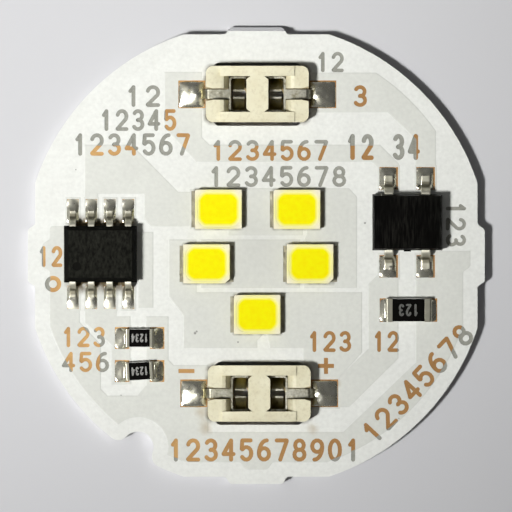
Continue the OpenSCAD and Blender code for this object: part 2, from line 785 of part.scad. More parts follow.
module driver_body() color("#262626") at(driver_at) raised(foot_z) difference() {
    moulded_body(driver_l, driver_w, driver_h, driver_gap, driver_draft, driver_exit_z);
    driver_lead_shapes();
    driver_slug();
    translate([
        dimple_in.x - driver_l / 2, dimple_in.y - driver_w / 2,
        driver_gap + driver_h - dimple_h
    ])
        cylinder(h = spare, d = dimple_d);
}

module driver_leads() color("silver") at(driver_at) raised(foot_z) driver_lead_shapes();

module driver_heat_pad() color("silver") at(driver_at) raised(foot_z) driver_slug();

module driver_solder() color("gainsboro") at(driver_at) raised(pad_z) {
    gull_solder(4, driver_pitch, driver_pad_w, driver_span, driver_foot, driver_pad_span);
    linear_extrude(solder_t) square([heat_pad_l, heat_pad_w], center = true);
}

module rectifier_lead_shapes() gull_leads(
    2, rectifier_pitch, rectifier_lead_w, rectifier_w, rectifier_span, rectifier_foot, rectifier_exit_z
);

module rectifier_body() color("#161616") at(rectifier_at) raised(foot_z) difference() {
    union() {
        moulded_body(
            rectifier_l, rectifier_w, rectifier_h, rectifier_gap, rectifier_draft, rectifier_exit_z
        );
        translate([-gate_stub.x / 2, -rectifier_w / 2 - gate_stub.y, rectifier_exit_z - gate_stub.z / 2])
            cube([gate_stub.x, rectifier_w / 2, gate_stub.z]);
    }
    rectifier_lead_shapes();
}

module rectifier_leads() color("silver") at(rectifier_at) raised(foot_z) rectifier_lead_shapes();

module rectifier_solder() color("gainsboro") at(rectifier_at) raised(pad_z)
    gull_solder(2, rectifier_pitch, rectifier_pad_w, rectifier_span, rectifier_foot, rectifier_pad_span);

// Chip resistors; each is drawn around its centre with its underside at Z = 0

module resistor_ceramic(i) color("ivory") {
    size = resistor_size[i];
    raised(size.z / 2) cube([size.x - 2 * cap_t, size.y, size.z - 2 * cap_t], center = true);
}

module resistor_cover(i) color("#202020") {
    size = resistor_size[i];
    l = size.x - 2 * resistor_cap(i);
    raised(size.z - cap_t) linear_extrude(cover_t) square([l, size.y - 2 * cover_rim], center = true);
}

module resistor_caps(i) color("silver") {
    size = resistor_size[i];
    out = size.x / 2;
    inner = out - resistor_cap(i);
    on_both_sides() across(size.y) polygon([
        [inner, 0], [out, 0], [out, size.z], [inner, size.z], [inner, size.z - cap_t],
        [out - cap_t, size.z - cap_t], [out - cap_t, cap_t], [inner, cap_t]
    ]);
}

// Solder on the straight pads, climbing the ends of a resistor that may sit askew on them
module resistor_solder(i) color("gainsboro") {
    size = resistor_size[i];
    end = size.x / 2;
    difference() {
        union() {
            linear_extrude(solder_t / 2) resistor_pads(i, 0);
            on_both_sides() solder_fillet(
                end - resistor_cap(i), end - cap_t, resistor_pad_span[i] / 2, size.z * solder_climb, size.y
            );
        }
        rotate(resistor_turn[i]) raised(solder_t + size.z / 2) cube(size, center = true);
    }
}

module resistor(i, part) at(resistor_at[i]) {
    if (part == "solder") raised(pad_z) resistor_solder(i);
    raised(foot_z) rotate(resistor_turn[i]) {
        if (part == "ceramic") resistor_ceramic(i);
        if (part == "cover") resistor_cover(i);
        if (part == "caps") resistor_caps(i);
    }
}

// LEDs; each is drawn around its centre with its leads' underside at Z = 0 and its cathode at +X

module led_cup(h) {
    floor_l = led_window_l - 2 * led_lean;
    floor_w = led_window_w - 2 * led_lean;
    share = h / (led_h - led_frame_t);
    grown = [1 + share * 2 * led_lean / floor_l, 1 + share * 2 * led_lean / floor_w];
    raised(led_frame_t) linear_extrude(h, scale = grown, slices = 1, segments = 1)
        rounded_rect(floor_l, floor_w, led_window_r, $fn = 24);
}

module led_leads() {
    end = led_l / 2 + led_lead_out;
    for (side = [-1, 1]) {
        inner = side * led_lead_gap / 2 - led_split;
        translate([(inner + side * end) / 2, 0, led_frame_t / 2])
            cube([abs(side * end - inner), led_frame_w, led_frame_t], center = true);
    }
}

module led_die()
    translate([led_split / 2, 0, led_frame_t])
        linear_extrude(led_chip_h) square([led_chip_l, led_chip_w], center = true);

module led_housing(cut) color("floralwhite") difference() {
    x = led_l / 2;
    y = led_w / 2;
    linear_extrude(led_h) polygon([[-x, y], [-x, -y], [x - cut, -y], [x, cut - y], [x, y]]);
    led_cup(led_h - led_frame_t);
    led_leads();
}

module led_phosphor() color("gold") difference() {
    led_cup(led_h - led_frame_t);
    raised(led_h - led_dip) linear_extrude(spare) square([led_l, led_w], center = true);
    led_die();
}

module led_solder() color("gainsboro") for (side = [-1, 1])
    mirror([side < 0 ? 1 : 0, 0, 0]) solder_fillet(
        led_lead_gap / 2 - side * led_split, led_l / 2 + led_lead_out, led_pad_end,
        led_frame_t * solder_climb, led_pad_w
    );

module led(i, part) at(led_at[i], led_turn(i)) {
    if (part == "housing") raised(foot_z) led_housing(corner_cut(i));
    if (part == "frame") color("silver") raised(foot_z) led_leads();
    if (part == "chip") color("lightskyblue") raised(foot_z) led_die();
    if (part == "phosphor") raised(foot_z) led_phosphor();
    if (part == "solder") raised(pad_z) led_solder();
}

aluminium_plate();
insulating_layer();
copper_tracks();
solder_mask();
term_housing(mains_at, "cornsilk");  // mains_housing
contact(mains_at, 180);  // live_contact
contact(mains_at, 0);  // neutral_contact
term_solder(mains_at);  // mains_solder
term_housing(capacitor_at, "cornsilk");  // capacitor_housing
contact(capacitor_at, 180);  // minus_contact
contact(capacitor_at, 0);  // plus_contact
term_solder(capacitor_at);  // capacitor_solder
driver_body();
driver_leads();
driver_heat_pad();
driver_solder();
rectifier_body();
rectifier_leads();
rectifier_solder();
for (i = [0:len(RESISTORS) - 1], part = RESISTOR_PARTS)
    resistor(i, part);
for (i = [0:LED_COUNT - 1], part = LED_PARTS)
    led(i, part);
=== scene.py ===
# %% [markdown]
# # A round LED board, dressed in Blender
# The object is the light source of a mains lamp: a white aluminium-core board with five LEDs, a driver
# chip, a bridge rectifier, three chip resistors and two connectors that take pins from below. The frame
# already holds every solid at its real size and place. This lesson gives each of them the edges, fillets
# and finishes that the real one has, and never moves or resizes a solid.

# %% Load the frame
import math

import bmesh
import bpy
from mathutils import Matrix, Vector, noise


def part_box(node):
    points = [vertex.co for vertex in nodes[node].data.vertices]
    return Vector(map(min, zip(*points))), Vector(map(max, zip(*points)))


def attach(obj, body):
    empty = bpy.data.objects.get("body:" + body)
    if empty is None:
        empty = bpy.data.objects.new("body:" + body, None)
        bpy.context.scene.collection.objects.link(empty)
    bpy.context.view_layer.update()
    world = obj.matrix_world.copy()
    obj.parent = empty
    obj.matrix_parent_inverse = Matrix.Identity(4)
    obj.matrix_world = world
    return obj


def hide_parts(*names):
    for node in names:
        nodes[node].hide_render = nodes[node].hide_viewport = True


MM = 0.001
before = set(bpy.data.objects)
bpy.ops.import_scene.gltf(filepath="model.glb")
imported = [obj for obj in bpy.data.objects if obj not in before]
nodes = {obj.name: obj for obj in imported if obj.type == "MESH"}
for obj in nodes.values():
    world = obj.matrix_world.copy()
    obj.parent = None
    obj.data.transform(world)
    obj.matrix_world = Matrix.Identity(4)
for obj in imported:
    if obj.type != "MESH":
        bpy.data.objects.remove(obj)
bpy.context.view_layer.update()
LEDS = [f"led_{k}" for k in range(1, 6)]
RESISTORS = ["bleed_resistor", "sense_resistor_1", "sense_resistor_2"]
HOUSINGS = ["mains_housing", "capacitor_housing"]
print("nodes:", len(nodes))

# %% [markdown]
# ## Camera
# The board was looked at from straight above. A long lens far away keeps the small parts from leaning
# outwards, as they would in a close view. The focal length follows from how many millimetres the picture is
# wide at the board's face, so the board comes out at the size that it has in the picture.

# %% Camera
PICTURE_SIDE = 512
PIXELS_PER_MM = 14.55
BOARD_MIDDLE_PIXEL = (256.3, 255.5)
CAMERA_HEIGHT = 600 * MM
SENSOR = 36

board_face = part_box("solder_mask")[1].z
view_width = PICTURE_SIDE / PIXELS_PER_MM * MM
shift_x = (PICTURE_SIDE / 2 - BOARD_MIDDLE_PIXEL[0]) / PIXELS_PER_MM * MM
shift_y = (BOARD_MIDDLE_PIXEL[1] - PICTURE_SIDE / 2) / PIXELS_PER_MM * MM

camera_data = bpy.data.cameras.new("camera")
camera_data.sensor_width = SENSOR
camera_data.lens = SENSOR * CAMERA_HEIGHT / view_width
camera_data.clip_start = 1 * MM
camera = bpy.data.objects.new("camera", camera_data)
camera.location = (shift_x, shift_y, board_face + CAMERA_HEIGHT)
bpy.context.scene.collection.objects.link(camera)
bpy.context.scene.camera = camera
bpy.context.scene.view_settings.view_transform = "Standard"
print("lens:", round(camera_data.lens, 1), "mm")

# %% [markdown]
# ## Nodes for finishes
# Every finish is a node tree on one Principled shader. It could be drawn in the editor, but short helpers
# keep it readable: they add a node, reckon, read a place or a height, lay a noise on the object's own
# coordinates, map a value to a range and mix two colours. The last three lay a colour, a roughness or a
# bump on the shader. A socket or node knows its own tree by its id_data, so only a helper that starts a
# pattern is given the tree. Patterns are given per millimetre, as a maker thinks of a grain.

# %% Helpers for finishes


def new_finish(name, color, roughness, metallic=0.0, gloss=0.5):
    finish = bpy.data.materials.new(name)
    finish.use_nodes = True
    shader = finish.node_tree.nodes["Principled BSDF"]
    values = {"Base Color": (*color, 1), "Roughness": roughness, "Metallic": metallic}
    for socket, value in {**values, "Specular IOR Level": gloss}.items():
        shader.inputs[socket].default_value = value
    return finish, finish.node_tree, shader


def add(tree, kind, inputs, **settings):
    """Add a node; an input is a plain value, or another node's output to link."""
    node = tree.nodes.new("ShaderNode" + kind)
    for key, value in settings.items():
        setattr(node, key, value)
    for key, value in inputs.items():
        if isinstance(value, bpy.types.NodeSocket):
            tree.links.new(value, node.inputs[key])
        else:
            node.inputs[key].default_value = value
    return node


def reckon(operation, first, second=0.0):
    return add(first.id_data, "Math", {0: first, 1: second}, operation=operation).outputs["Value"]


def reckon_vector(operation, first, second=(0, 0, 0), result="Vector"):
    return add(first.id_data, "VectorMath", {0: first, 1: second}, operation=operation).outputs[result]


def object_place(tree):
    return add(tree, "TexCoord", {}).outputs["Object"]


def along_axis(tree, axis):
    return add(tree, "SeparateXYZ", {"Vector": object_place(tree)}).outputs[axis]


def grain(tree, per_mm, detail=3.0, stretch=(1, 1, 1)):
    scale = [share / MM for share in stretch]
    place = add(tree, "Mapping", {"Vector": object_place(tree), "Scale": scale}).outputs["Vector"]
    return add(tree, "TexNoise", {"Vector": place, "Scale": per_mm, "Detail": detail}).outputs["Fac"]


def spread(value, low, high, to_low=0.0, to_high=1.0):
    ends = {"From Min": low, "From Max": high, "To Min": to_low, "To Max": to_high}
    return add(value.id_data, "MapRange", {"Value": value, **ends}).outputs["Result"]


def blend(share, first, second):
    """Mix two colours; each is a colour or an output to link."""
    colors = [c if isinstance(c, bpy.types.NodeSocket) else (*c, 1) for c in (first, second)]
    mix = add(share.id_data, "Mix", {0: share, 6: colors[0], 7: colors[1]}, data_type="RGBA")
    return mix.outputs[2]


def height_share(tree, low, high):
    """0 at the lower height and 1 at the upper one, both in metres."""
    return spread(along_axis(tree, "Z"), low, high)


def darker(color, share):
    return [channel * share for channel in color]


def lay_color(shader, color):
    shader.id_data.links.new(color, shader.inputs["Base Color"])


def lay_roughness(shader, value):
    shader.id_data.links.new(value, shader.inputs["Roughness"])


def lay_bump(shader, height, strength, depth):
    tree = shader.id_data
    bump = add(tree, "Bump", {"Strength": strength, "Distance": depth, "Height": height})
    tree.links.new(bump.outputs["Normal"], shader.inputs["Normal"])


print("a grain of 1 per mm has a scale of", round(1 / MM))

# %% [markdown]
# ## Studio
# The floor is plain and pale. One small lamp stands far off at the lower left, 28 degrees off the vertical,
# so every part throws the same short, dark shadow to the right and upwards. Its beam is narrow and aimed at
# the upper left of the board, which gets the most light. The world only fills the shadows a little. Metal
# would turn black under such a dim world, so what the camera and the reflections see is a backdrop of its
# own: pale on the lamp's side, dark on the other side and in between overhead. It gives every bead of
# solder a light and a dark flank.

# %% Floor
FLOOR_SIDE = 0.8
FLOOR_COLOR = (0.60, 0.60, 0.61)
FLOOR_CLOUD = 0.96


def object_from(form, name):
    """Turn a finished bmesh into an object of the scene."""
    mesh = bpy.data.meshes.new(name)
    form.to_mesh(mesh)
    form.free()
    made = bpy.data.objects.new(name, mesh)
    bpy.context.scene.collection.objects.link(made)
    return made


def make_floor():
    form = bmesh.new()
    bmesh.ops.create_grid(form, x_segments=1, y_segments=1, size=FLOOR_SIDE / 2)
    floor = object_from(form, "floor")
    finish, tree, shader = new_finish("floor", FLOOR_COLOR, 0.8)
    cloud = grain(tree, 0.05)
    lay_color(shader, blend(cloud, FLOOR_COLOR, darker(FLOOR_COLOR, FLOOR_CLOUD)))
    floor.data.materials.append(finish)


make_floor()
print("floor:", FLOOR_SIDE, "m wide")

# %% Key lamp
KEY_PLACE = Vector((-312, -140, 625)) * MM
KEY_AIM = Vector((-20, 16, 0)) * MM
KEY_BEAM = math.radians(12.6)
KEY_SIZE = 110 * MM
KEY_POWER = 0.049


def make_lamp(name, place, aim, beam, size, power):
    data = bpy.data.lights.new(name, "AREA")
    data.shape = "DISK"
    data.size = size
    data.spread = beam
    data.energy = power
    lamp = bpy.data.objects.new(name, data)
    lamp.location = place
    lamp.rotation_euler = (place - aim).to_track_quat("Z", "Y").to_euler()
    bpy.context.scene.collection.objects.link(lamp)


make_lamp("key", KEY_PLACE, KEY_AIM, KEY_BEAM, KEY_SIZE, KEY_POWER)
print("key lamp at", round(KEY_PLACE.length / MM), "mm")

# %% World
FILL_HORIZON = 0.04
FILL_OVERHEAD = 0.13
BACKDROP_LEFT = 0.50
BACKDROP_RIGHT = 0.06
BACKDROP_OVERHEAD = 0.12
BACKDROP_TURN = 0.7


def make_world():
    world = bpy.data.worlds.new("studio")
    world.use_nodes = True
    tree = world.node_tree
    direction = add(tree, "TexCoord", {}).outputs["Generated"]
    toward = add(tree, "SeparateXYZ", {"Vector": direction}).outputs
    rays = add(tree, "LightPath", {}).outputs
    mirrored = reckon("MAXIMUM", rays["Is Glossy Ray"], rays["Is Transmission Ray"])
    seen = reckon("MAXIMUM", rays["Is Camera Ray"], mirrored)
    fill = spread(toward["Z"], 0, 1, FILL_HORIZON, FILL_OVERHEAD)
    side = spread(toward["X"], -BACKDROP_TURN, BACKDROP_TURN, BACKDROP_LEFT, BACKDROP_RIGHT)
    backdrop = spread(toward["Z"], 0, 1, side, BACKDROP_OVERHEAD)
    strength = add(tree, "Mix", {0: seen, 2: fill, 3: backdrop}, data_type="FLOAT")
    tree.links.new(strength.outputs[0], tree.nodes["Background"].inputs["Strength"])
    tree.nodes["Background"].inputs["Color"].default_value = (1, 1, 1, 1)
    bpy.context.scene.world = world


make_world()
print("fill from", FILL_HORIZON, "at the horizon to", FILL_OVERHEAD, "overhead")

# %% [markdown]
# ## Pieces from the frame
# Most parts already have their true form, but a machine's edge is never as sharp as a drawing's. A merged
# copy of a node's mesh gets a small bevel and stands for the node. Merging comes first, because a node's
# triangles are loose, and the flat triangles are joined to whole faces, so the bevel meets only real edges.

# %% Helpers for pieces
MERGE = 0.0004 * MM
EDGE_ANGLE = math.radians(32)
FLAT_ANGLE = math.radians(0.5)


def merged_copy(node):
    form = bmesh.new()
    form.from_mesh(nodes[node].data)
    bmesh.ops.remove_doubles(form, verts=form.verts, dist=MERGE)
    bmesh.ops.dissolve_limit(form, angle_limit=FLAT_ANGLE, verts=form.verts, edges=form.edges)
    return form


def make_piece(form, name, finish, stands_for, sharp=40):
    piece = object_from(form, name)
    piece.data.materials.append(finish)
    piece.data.shade_smooth()
    piece.data.set_sharp_from_angle(angle=math.radians(sharp))
    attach(piece, "root")
    if stands_for:
        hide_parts(*stands_for)
    return piece


def weigh_edges(form, special, weights):
    """Give every real edge a bevel weight: the first between special points, the second elsewhere."""
    layer = form.edges.layers.float.new("bevel_weight_edge")
    for edge in form.edges:
        if edge.is_manifold and edge.calc_face_angle() > EDGE_ANGLE:
            edge[layer] = weights[0] if all(special(vert.co) for vert in edge.verts) else weights[1]


def nowhere(place):
    return False


def soften(node, finish, width, segments=2, special=nowhere, weights=(0.0, 1.0), flat=False):
    """Stand a copy with bevelled edges in for a node."""
    form = merged_copy(node)
    weigh_edges(form, special, weights)
    piece = make_piece(form, node + "_soft", finish, [node])
    bevel = piece.modifiers.new("edges", "BEVEL")
    bevel.width = width
    bevel.segments = segments
    bevel.limit_method = "WEIGHT"
    bevel.harden_normals = not flat
    if flat:
        piece.data.shade_flat()


def only_points(geom):
    return [item for item in geom if isinstance(item, bmesh.types.BMVert)]


def inside(box, spare):
    """A test for points whose plan lies in this box, grown by the spare."""
    low, high = box

    def test(place):
        across = low.x - spare < place.x < high.x + spare
        return across and low.y - spare < place.y < high.y + spare

    return test


def middle_of(node):
    return sum(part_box(node), Vector()) / 2


def dress(node, finish):
    nodes[node].data.materials.clear()
    nodes[node].data.materials.append(finish)


print("edges sharper than", round(math.degrees(EDGE_ANGLE)), "degrees get a bevel")

# %% [markdown]
# ## Layers of the board
# The core is a punched aluminium plate. Its back and its bare score show the long grain of rolled sheet,
# and its punched edge has a bright cut band above and a rougher torn band below. The insulating layer is
# grey resin. The copper is orange where the mask is open, and browner on the board's right half, where it
# tarnished more.

# %% Plate, insulation and copper
PLATE_COLOR = (0.74, 0.74, 0.74)
PLATE_DARK = (0.50, 0.50, 0.50)
PLATE_EDGE = 0.04 * MM
# Shares of the plate's height between which the torn band gives way to the cut band
CUT_BAND = (0.45, 0.62)
COPPER_COLOR = (0.54, 0.32, 0.11)
COPPER_DULL = (0.38, 0.20, 0.062)
COPPER_BROWN = (0.33, 0.165, 0.045)
# From where to where across the board the copper turns brown
TARNISH = (-11 * MM, 5 * MM)
RESIN_COLOR = (0.245, 0.245, 0.208)
RESIN_PALE = (0.31, 0.31, 0.265)
plate_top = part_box("aluminium_plate")[1].z


def plate_finish():
    finish, tree, shader = new_finish("rolled_aluminium", PLATE_COLOR, 0.35, 1.0)
    rolled = grain(tree, 3.0, 5.0, stretch=(0.08, 2.5, 1))
    torn = grain(tree, 6.0, 4.0, stretch=(1, 1, 0.2))
    cut_band = height_share(tree, *[plate_top * share for share in CUT_BAND])
    edge_color = blend(torn, PLATE_DARK, PLATE_COLOR)
    lay_color(shader, blend(cut_band, edge_color, PLATE_COLOR))
    lay_roughness(shader, spread(rolled, 0.2, 0.8, 0.28, 0.52))
    lay_bump(shader, rolled, 0.35, 0.01 * MM)
    return finish


def copper_finish():
    finish, tree, shader = new_finish("bare_copper", COPPER_COLOR, 0.5, 0.35)
    dull = spread(grain(tree, 1.2, 5.0), 0.35, 0.7)
    tarnish = spread(along_axis(tree, "X"), *TARNISH)
    color = blend(dull, COPPER_COLOR, COPPER_DULL)
    lay_color(shader, blend(tarnish, color, COPPER_BROWN))
    lay_bump(shader, grain(tree, 9.0), 0.25, 0.006 * MM)
    return finish


def resin_finish():
    finish, tree, shader = new_finish("grey_resin", RESIN_COLOR, 0.6)
    filled = spread(grain(tree, 5.0, 4.0), 0.3, 0.7)
    lay_color(shader, blend(filled, RESIN_COLOR, RESIN_PALE))
    lay_bump(shader, filled, 0.2, 0.008 * MM)
    return finish


soften("aluminium_plate", plate_finish(), PLATE_EDGE)
dress("copper_tracks", copper_finish())
dress("insulating_layer", resin_finish())
print("plate, copper and resin dressed")

# %% [markdown]
# ## White mask
# The mask is a coat of white resin that was printed over the copper. It runs down the side of each track in
# a soft slope and looks greyer where it lies on copper, because it is a little translucent. The copy of the
# solid has upright steps there. Each foot of a step is moved outwards, away from its walls, so the step
# becomes a slope. The finish then reads the height: grey on top of a track, white between the tracks.

# %% Mask form
SLOPE = 0.09 * MM
LEVEL = 0.001 * MM
UPRIGHT = 0.1
# Thickness of the mask between the tracks
MASK_COAT = 0.05 * MM
copper_low, copper_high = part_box("copper_tracks")
copper_top = copper_high.z
step_foot = copper_low.z + MASK_COAT


def step_walls(vert):
    """The upright faces that rise from this foot of a step to the mask's top."""
    walls = []
    for face in vert.link_faces:
        upright = abs(face.normal.z) < UPRIGHT
        if upright and any(v.co.z > vert.co.z + LEVEL for v in face.verts):
            walls.append(face)
    return walls


def slope_steps(form, foot_z):
    moves = {}
    for vert in form.verts:
        if abs(vert.co.z - foot_z) > LEVEL:
            continue
        normals = [face.normal.copy() for face in step_walls(vert)]
        if not normals:
            continue
        first, last = normals[0], normals[-1]
        moves[vert] = (first + last) / (1 + first.dot(last)) * SLOPE
    for vert, move in moves.items():
        vert.co += move
    return len(moves)


mask_form = merged_copy("solder_mask")
print("feet of steps moved:", slope_steps(mask_form, step_foot))

# %% [markdown]
# ## Digits
# The board and its resistors carry plain running numbers. A font's text could be turned into a mesh, but a
# plotter draws such digits with a round pen. So each is a few strokes of even width with round ends,
# straight lines and arcs of an ellipse, and one table of strokes serves every size. A stroke is a flat band
# along its points, with a half round at each end, and extruding the band makes it a prism.

# %% Digits


def arc(middle, radii, start, end, steps=14):
    """Points of an ellipse from one angle to another, in degrees."""
    (x, y), (wide, tall) = middle, radii
    turns = [math.radians(start + (end - start) * k / steps) for k in range(steps + 1)]
    return [(x + wide * math.cos(turn), y + tall * math.sin(turn)) for turn in turns]


# Strokes of each digit, in half widths and half heights; they overlap, but no two end at the same point
SIX = [arc((0.55, -0.4), (1.55, 1.4), 90, 175), arc((0, -0.4), (1, 0.6), 0, 360)]
DIGITS = {
    "0": [arc((0, 0), (1, 1), 0, 360, 20)],
    "1": [[(-0.5, 0.55), (0.05, 0.93)], [(0.1, 1), (0.1, -1)]],
    "2": [arc((0, 0.42), (1, 0.58), 165, -35) + [(-1, -0.95)], [(-0.9, -1), (1, -1)]],
    "3": [arc((0, 0.5), (0.9, 0.5), 150, -93), arc((0, -0.48), (1, 0.52), 88, -150)],
    "4": [[(0.5, -1), (0.5, 1)], [(0.42, 0.94), (-0.95, -0.38)], [(-1, -0.42), (1, -0.42)]],
    "5": [[(0.85, 1), (-0.75, 1)], [(-0.8, 0.95), (-0.9, 0.12)], arc((0, -0.35), (1, 0.65), 140, -145)],
    "6": SIX,
    "7": [[(-1, 1), (0.95, 1)], [(1, 0.96), (-0.3, -1)]],
    "8": [arc((0, 0.5), (0.85, 0.5), 0, 360), arc((0, -0.47), (1, 0.53), 0, 360)],
    "9": [[(-x, -y) for x, y in stroke] for stroke in SIX],
    " ": [],
}
print("digits drawn with a pen:", len(DIGITS) - 1)

# %% Strokes of a round pen
# Shares of a row's pitch and of its height that a digit may be wide, and of the height that the pen is wide
DIGIT_ROOM = 0.8
DIGIT_SHAPE = 0.66
PEN_SHARE = 0.175
PEN_STEP = 0.1
PEN_FACETS = 6


def pen_stroke(form, points, half, depth):
    """A stroke of a round pen along flat points, as a closed prism; a ring if its ends meet."""
    ring = (points[0] - points[-1]).length < half
    if ring:
        points = points[:-1]
    last = len(points) - 1

    def corner(flat):
        return form.verts.new((*flat, -depth / 2))

    sides = []
    for k, point in enumerate(points):
        before = points[k - 1] if ring or k > 0 else point
        after = points[(k + 1) % len(points)] if ring or k < last else point
        sides.append((after - before).normalized().orthogonal() * half)
    left = [corner(point + side) for point, side in zip(points, sides)]
    right = [corner(point - side) for point, side in zip(points, sides)]
    faces = [form.faces.new((left[k], right[k], right[k + 1], left[k + 1])) for k in range(last)]
    if ring:
        faces.append(form.faces.new((left[last], right[last], right[0], left[0])))
    else:
        turns = [Matrix.Rotation(-math.pi * k / PEN_FACETS, 2) for k in range(1, PEN_FACETS)]
        head = [corner(points[last] + turn @ sides[last]) for turn in turns]
        tail = [corner(points[0] - turn @ sides[0]) for turn in turns]
        faces.append(form.faces.new((left[last], *head, right[last])))
        faces.append(form.faces.new((right[0], *tail, left[0])))
    low = dict.fromkeys(vert for face in faces for vert in face.verts)
    high = only_points(bmesh.ops.extrude_face_region(form, geom=faces)["geom"])
    bmesh.ops.translate(form, verts=high, vec=(0, 0, depth))
    return [*low, *high]


def add_row(form, text, place, length, height, turn, depth):
    """A row of digits around a place, all lengths in metres and the turn in degrees.

    Each further stroke of a digit is a little deeper, so that no two strokes share a face.
    """
    pitch = length / len(text)
    half = height * PEN_SHARE / 2
    wide = min(pitch * DIGIT_ROOM, height * DIGIT_SHAPE) / 2 - half
    tall = height / 2 - half
    turned = Matrix.Translation(place) @ Matrix.Rotation(math.radians(turn), 4, "Z")
    for k, digit in enumerate(text):
        along = Matrix.Translation(((k - (len(text) - 1) / 2) * pitch, 0, 0))
        for order, stroke in enumerate(DIGITS[digit]):
            points = [Vector((x * wide, y * tall)) for x, y in stroke]
            verts = pen_stroke(form, points, half, depth * (1 + PEN_STEP * order))
            bmesh.ops.transform(form, matrix=turned @ along, verts=verts)


print("facets of a stroke's round end:", PEN_FACETS)

# %% [markdown]
# ## Marks
# Signs on such a board are openings in the mask: copper shines through where a track runs below, and grey
# resin elsewhere. They could be painted on, but paint would lie on top, so the marks are real cuts. The
# numbers, a plus, a minus and the ring beside the driver's first lead are thin upright prisms, and a
# boolean cuts all of them out of the mask at once. What shows in each opening is then whatever lies below
# it.

# %% Places of the marks
MARK_TURN_DOWN = -90
MARK_TURN_EDGE = 47
# Digits, middle of the row, length of the row, height of a digit (all in mm), and turn
MARK_ROWS = [
    ("12", (-7.79, 10.96), 2.75, 1.5, 0),
    ("12345", (-8.13, 9.31), 5.5, 1.5, 0),
    ("1234567", (-8.58, 7.63), 8.3, 1.55, 0),
    ("1234567", (0.91, 7.22), 8.3, 1.45, 0),
    ("12345678", (1.46, 5.43), 9.7, 1.45, 0),
    ("12 34", (8.71, 7.46), 5.3, 1.8, 0),
    ("12", (5.07, 13.30), 2.1, 1.4, 0),
    ("3", (7.13, 10.96), 1.2, 1.5, 0),
    ("12", (-14.17, -0.07), 1.87, 1.45, 0),
    ("123", (-11.88, -5.60), 3.2, 1.4, 0),
    ("456", (-11.74, -7.32), 3.5, 1.4, 0),
    ("123", (5.03, -5.91), 3.2, 1.45, 0),
    ("12", (8.91, -5.91), 2.0, 1.45, 0),
    ("123", (13.72, 2.16), 3.3, 1.4, MARK_TURN_DOWN),
    ("12345678901", (0.53, -13.37), 13.4, 1.6, 0),
    ("12345678", (11.08, -8.80), 10.4, 1.6, MARK_TURN_EDGE),
]
PLUS_PLACE = (4.79, -7.59)
MINUS_PLACE = (-4.80, -7.94)
RING_PLACE = (-13.97, -1.96)
print("rows of digits:", len(MARK_ROWS))

# %% Marks cut out of the mask
MARK_DEPTH = 0.2 * MM
SIGN_ARM = 1.1 * MM
SIGN_STROKE = 0.28 * MM
RING_OUTER = 0.56 * MM
RING_INNER = 0.27 * MM
RING_STEPS = 40


def on_copper_at(middle):
    return Vector((middle[0] * MM, middle[1] * MM, copper_top))


def add_bar(form, middle, length, width):
    made = bmesh.ops.create_cube(form, size=1)
    place = Matrix.Translation(on_copper_at(middle))
    size = Matrix.Diagonal((length, width, MARK_DEPTH, 1))
    bmesh.ops.transform(form, matrix=place @ size, verts=made["verts"])


def add_ring(form, middle, inner, outer):
    centre = on_copper_at(middle) - Vector((0, 0, MARK_DEPTH / 2))
    corners = [(inner, 0, 0), (outer, 0, 0), (outer, 0, MARK_DEPTH), (inner, 0, MARK_DEPTH)]
    section = [form.verts.new(centre + Vector(corner)) for corner in corners]
    sides = [form.edges.new((section[k - 1], section[k])) for k in range(4)]
    bmesh.ops.spin(
        form, geom=section + sides, cent=centre, axis=(0, 0, 1),
        angle=math.tau, steps=RING_STEPS, use_merge=True,
    )


def cut_marks(piece):
    form = bmesh.new()
    for digits, middle, length, height, turn in MARK_ROWS:
        add_row(form, digits, on_copper_at(middle), length * MM, height * MM, turn, MARK_DEPTH)
    add_bar(form, PLUS_PLACE, SIGN_ARM, SIGN_STROKE)
    add_bar(form, PLUS_PLACE, SIGN_STROKE, SIGN_ARM)
    add_bar(form, MINUS_PLACE, SIGN_ARM, SIGN_STROKE)
    add_ring(form, RING_PLACE, RING_INNER, RING_OUTER)
    bmesh.ops.recalc_face_normals(form, faces=form.faces)
    cutter = object_from(form, "marks")
    cut = piece.modifiers.new("marks", "BOOLEAN")
    cut.object = cutter
    cut.operation = "DIFFERENCE"
    cut.solver = "EXACT"
    cut.use_self = True
    depsgraph = bpy.context.evaluated_depsgraph_get()
    opened = bpy.data.meshes.new_from_object(piece.evaluated_get(depsgraph))
    piece.modifiers.clear()
    piece.data = opened
    bpy.data.objects.remove(cutter)
    return len(opened.polygons)


print("marks cut", round(MARK_DEPTH / MM, 2), "mm deep")

# %% [markdown]
# ## Finish of the mask
# White resin is never one white. It is greyer on copper. A painted shade darkens the slope along the edge
# of each track, and a broad painted shade darkens the middle of the board around the LEDs. It is faintly
# clouded, has a fine grain from the print screen, carries a few dark specks, and is stained brown where
# flux ran out from under the lower connector. The middle's painted shade, the specks and the stains are the
# same
# pattern in different sizes: the distance from a place on the board, made ragged by a noise. A painted
# shade lies along the feet of the housings and the LEDs, and brown flux mixed with painted shade lies
# between the driver's leads. Both follow the distance from the piece's box.

# %% Spots and painted shade
# Distances, in radii and with the noise added, at which a spot ends and at which it is whole
SPOT_RIM = (1.4, 0.5)
FOOT_SHADE_THIN = 0.35


def spot_share(tree, place, middle, radius, ragged_per_mm):
    """How deep a spot is: 1 in its middle, 0 at its ragged rim."""
    offset = (-middle[0] / radius, -middle[1] / radius, 0)
    scale = (1 / (radius * MM), 1 / (radius * MM), 0)
    mapped = add(tree, "Mapping", {"Vector": place, "Location": offset, "Scale": scale}).outputs["Vector"]
    distance = reckon_vector("LENGTH", mapped, result="Value")
    rim = grain(tree, ragged_per_mm, 5.0)
    return spread(reckon("ADD", distance, rim), *SPOT_RIM)


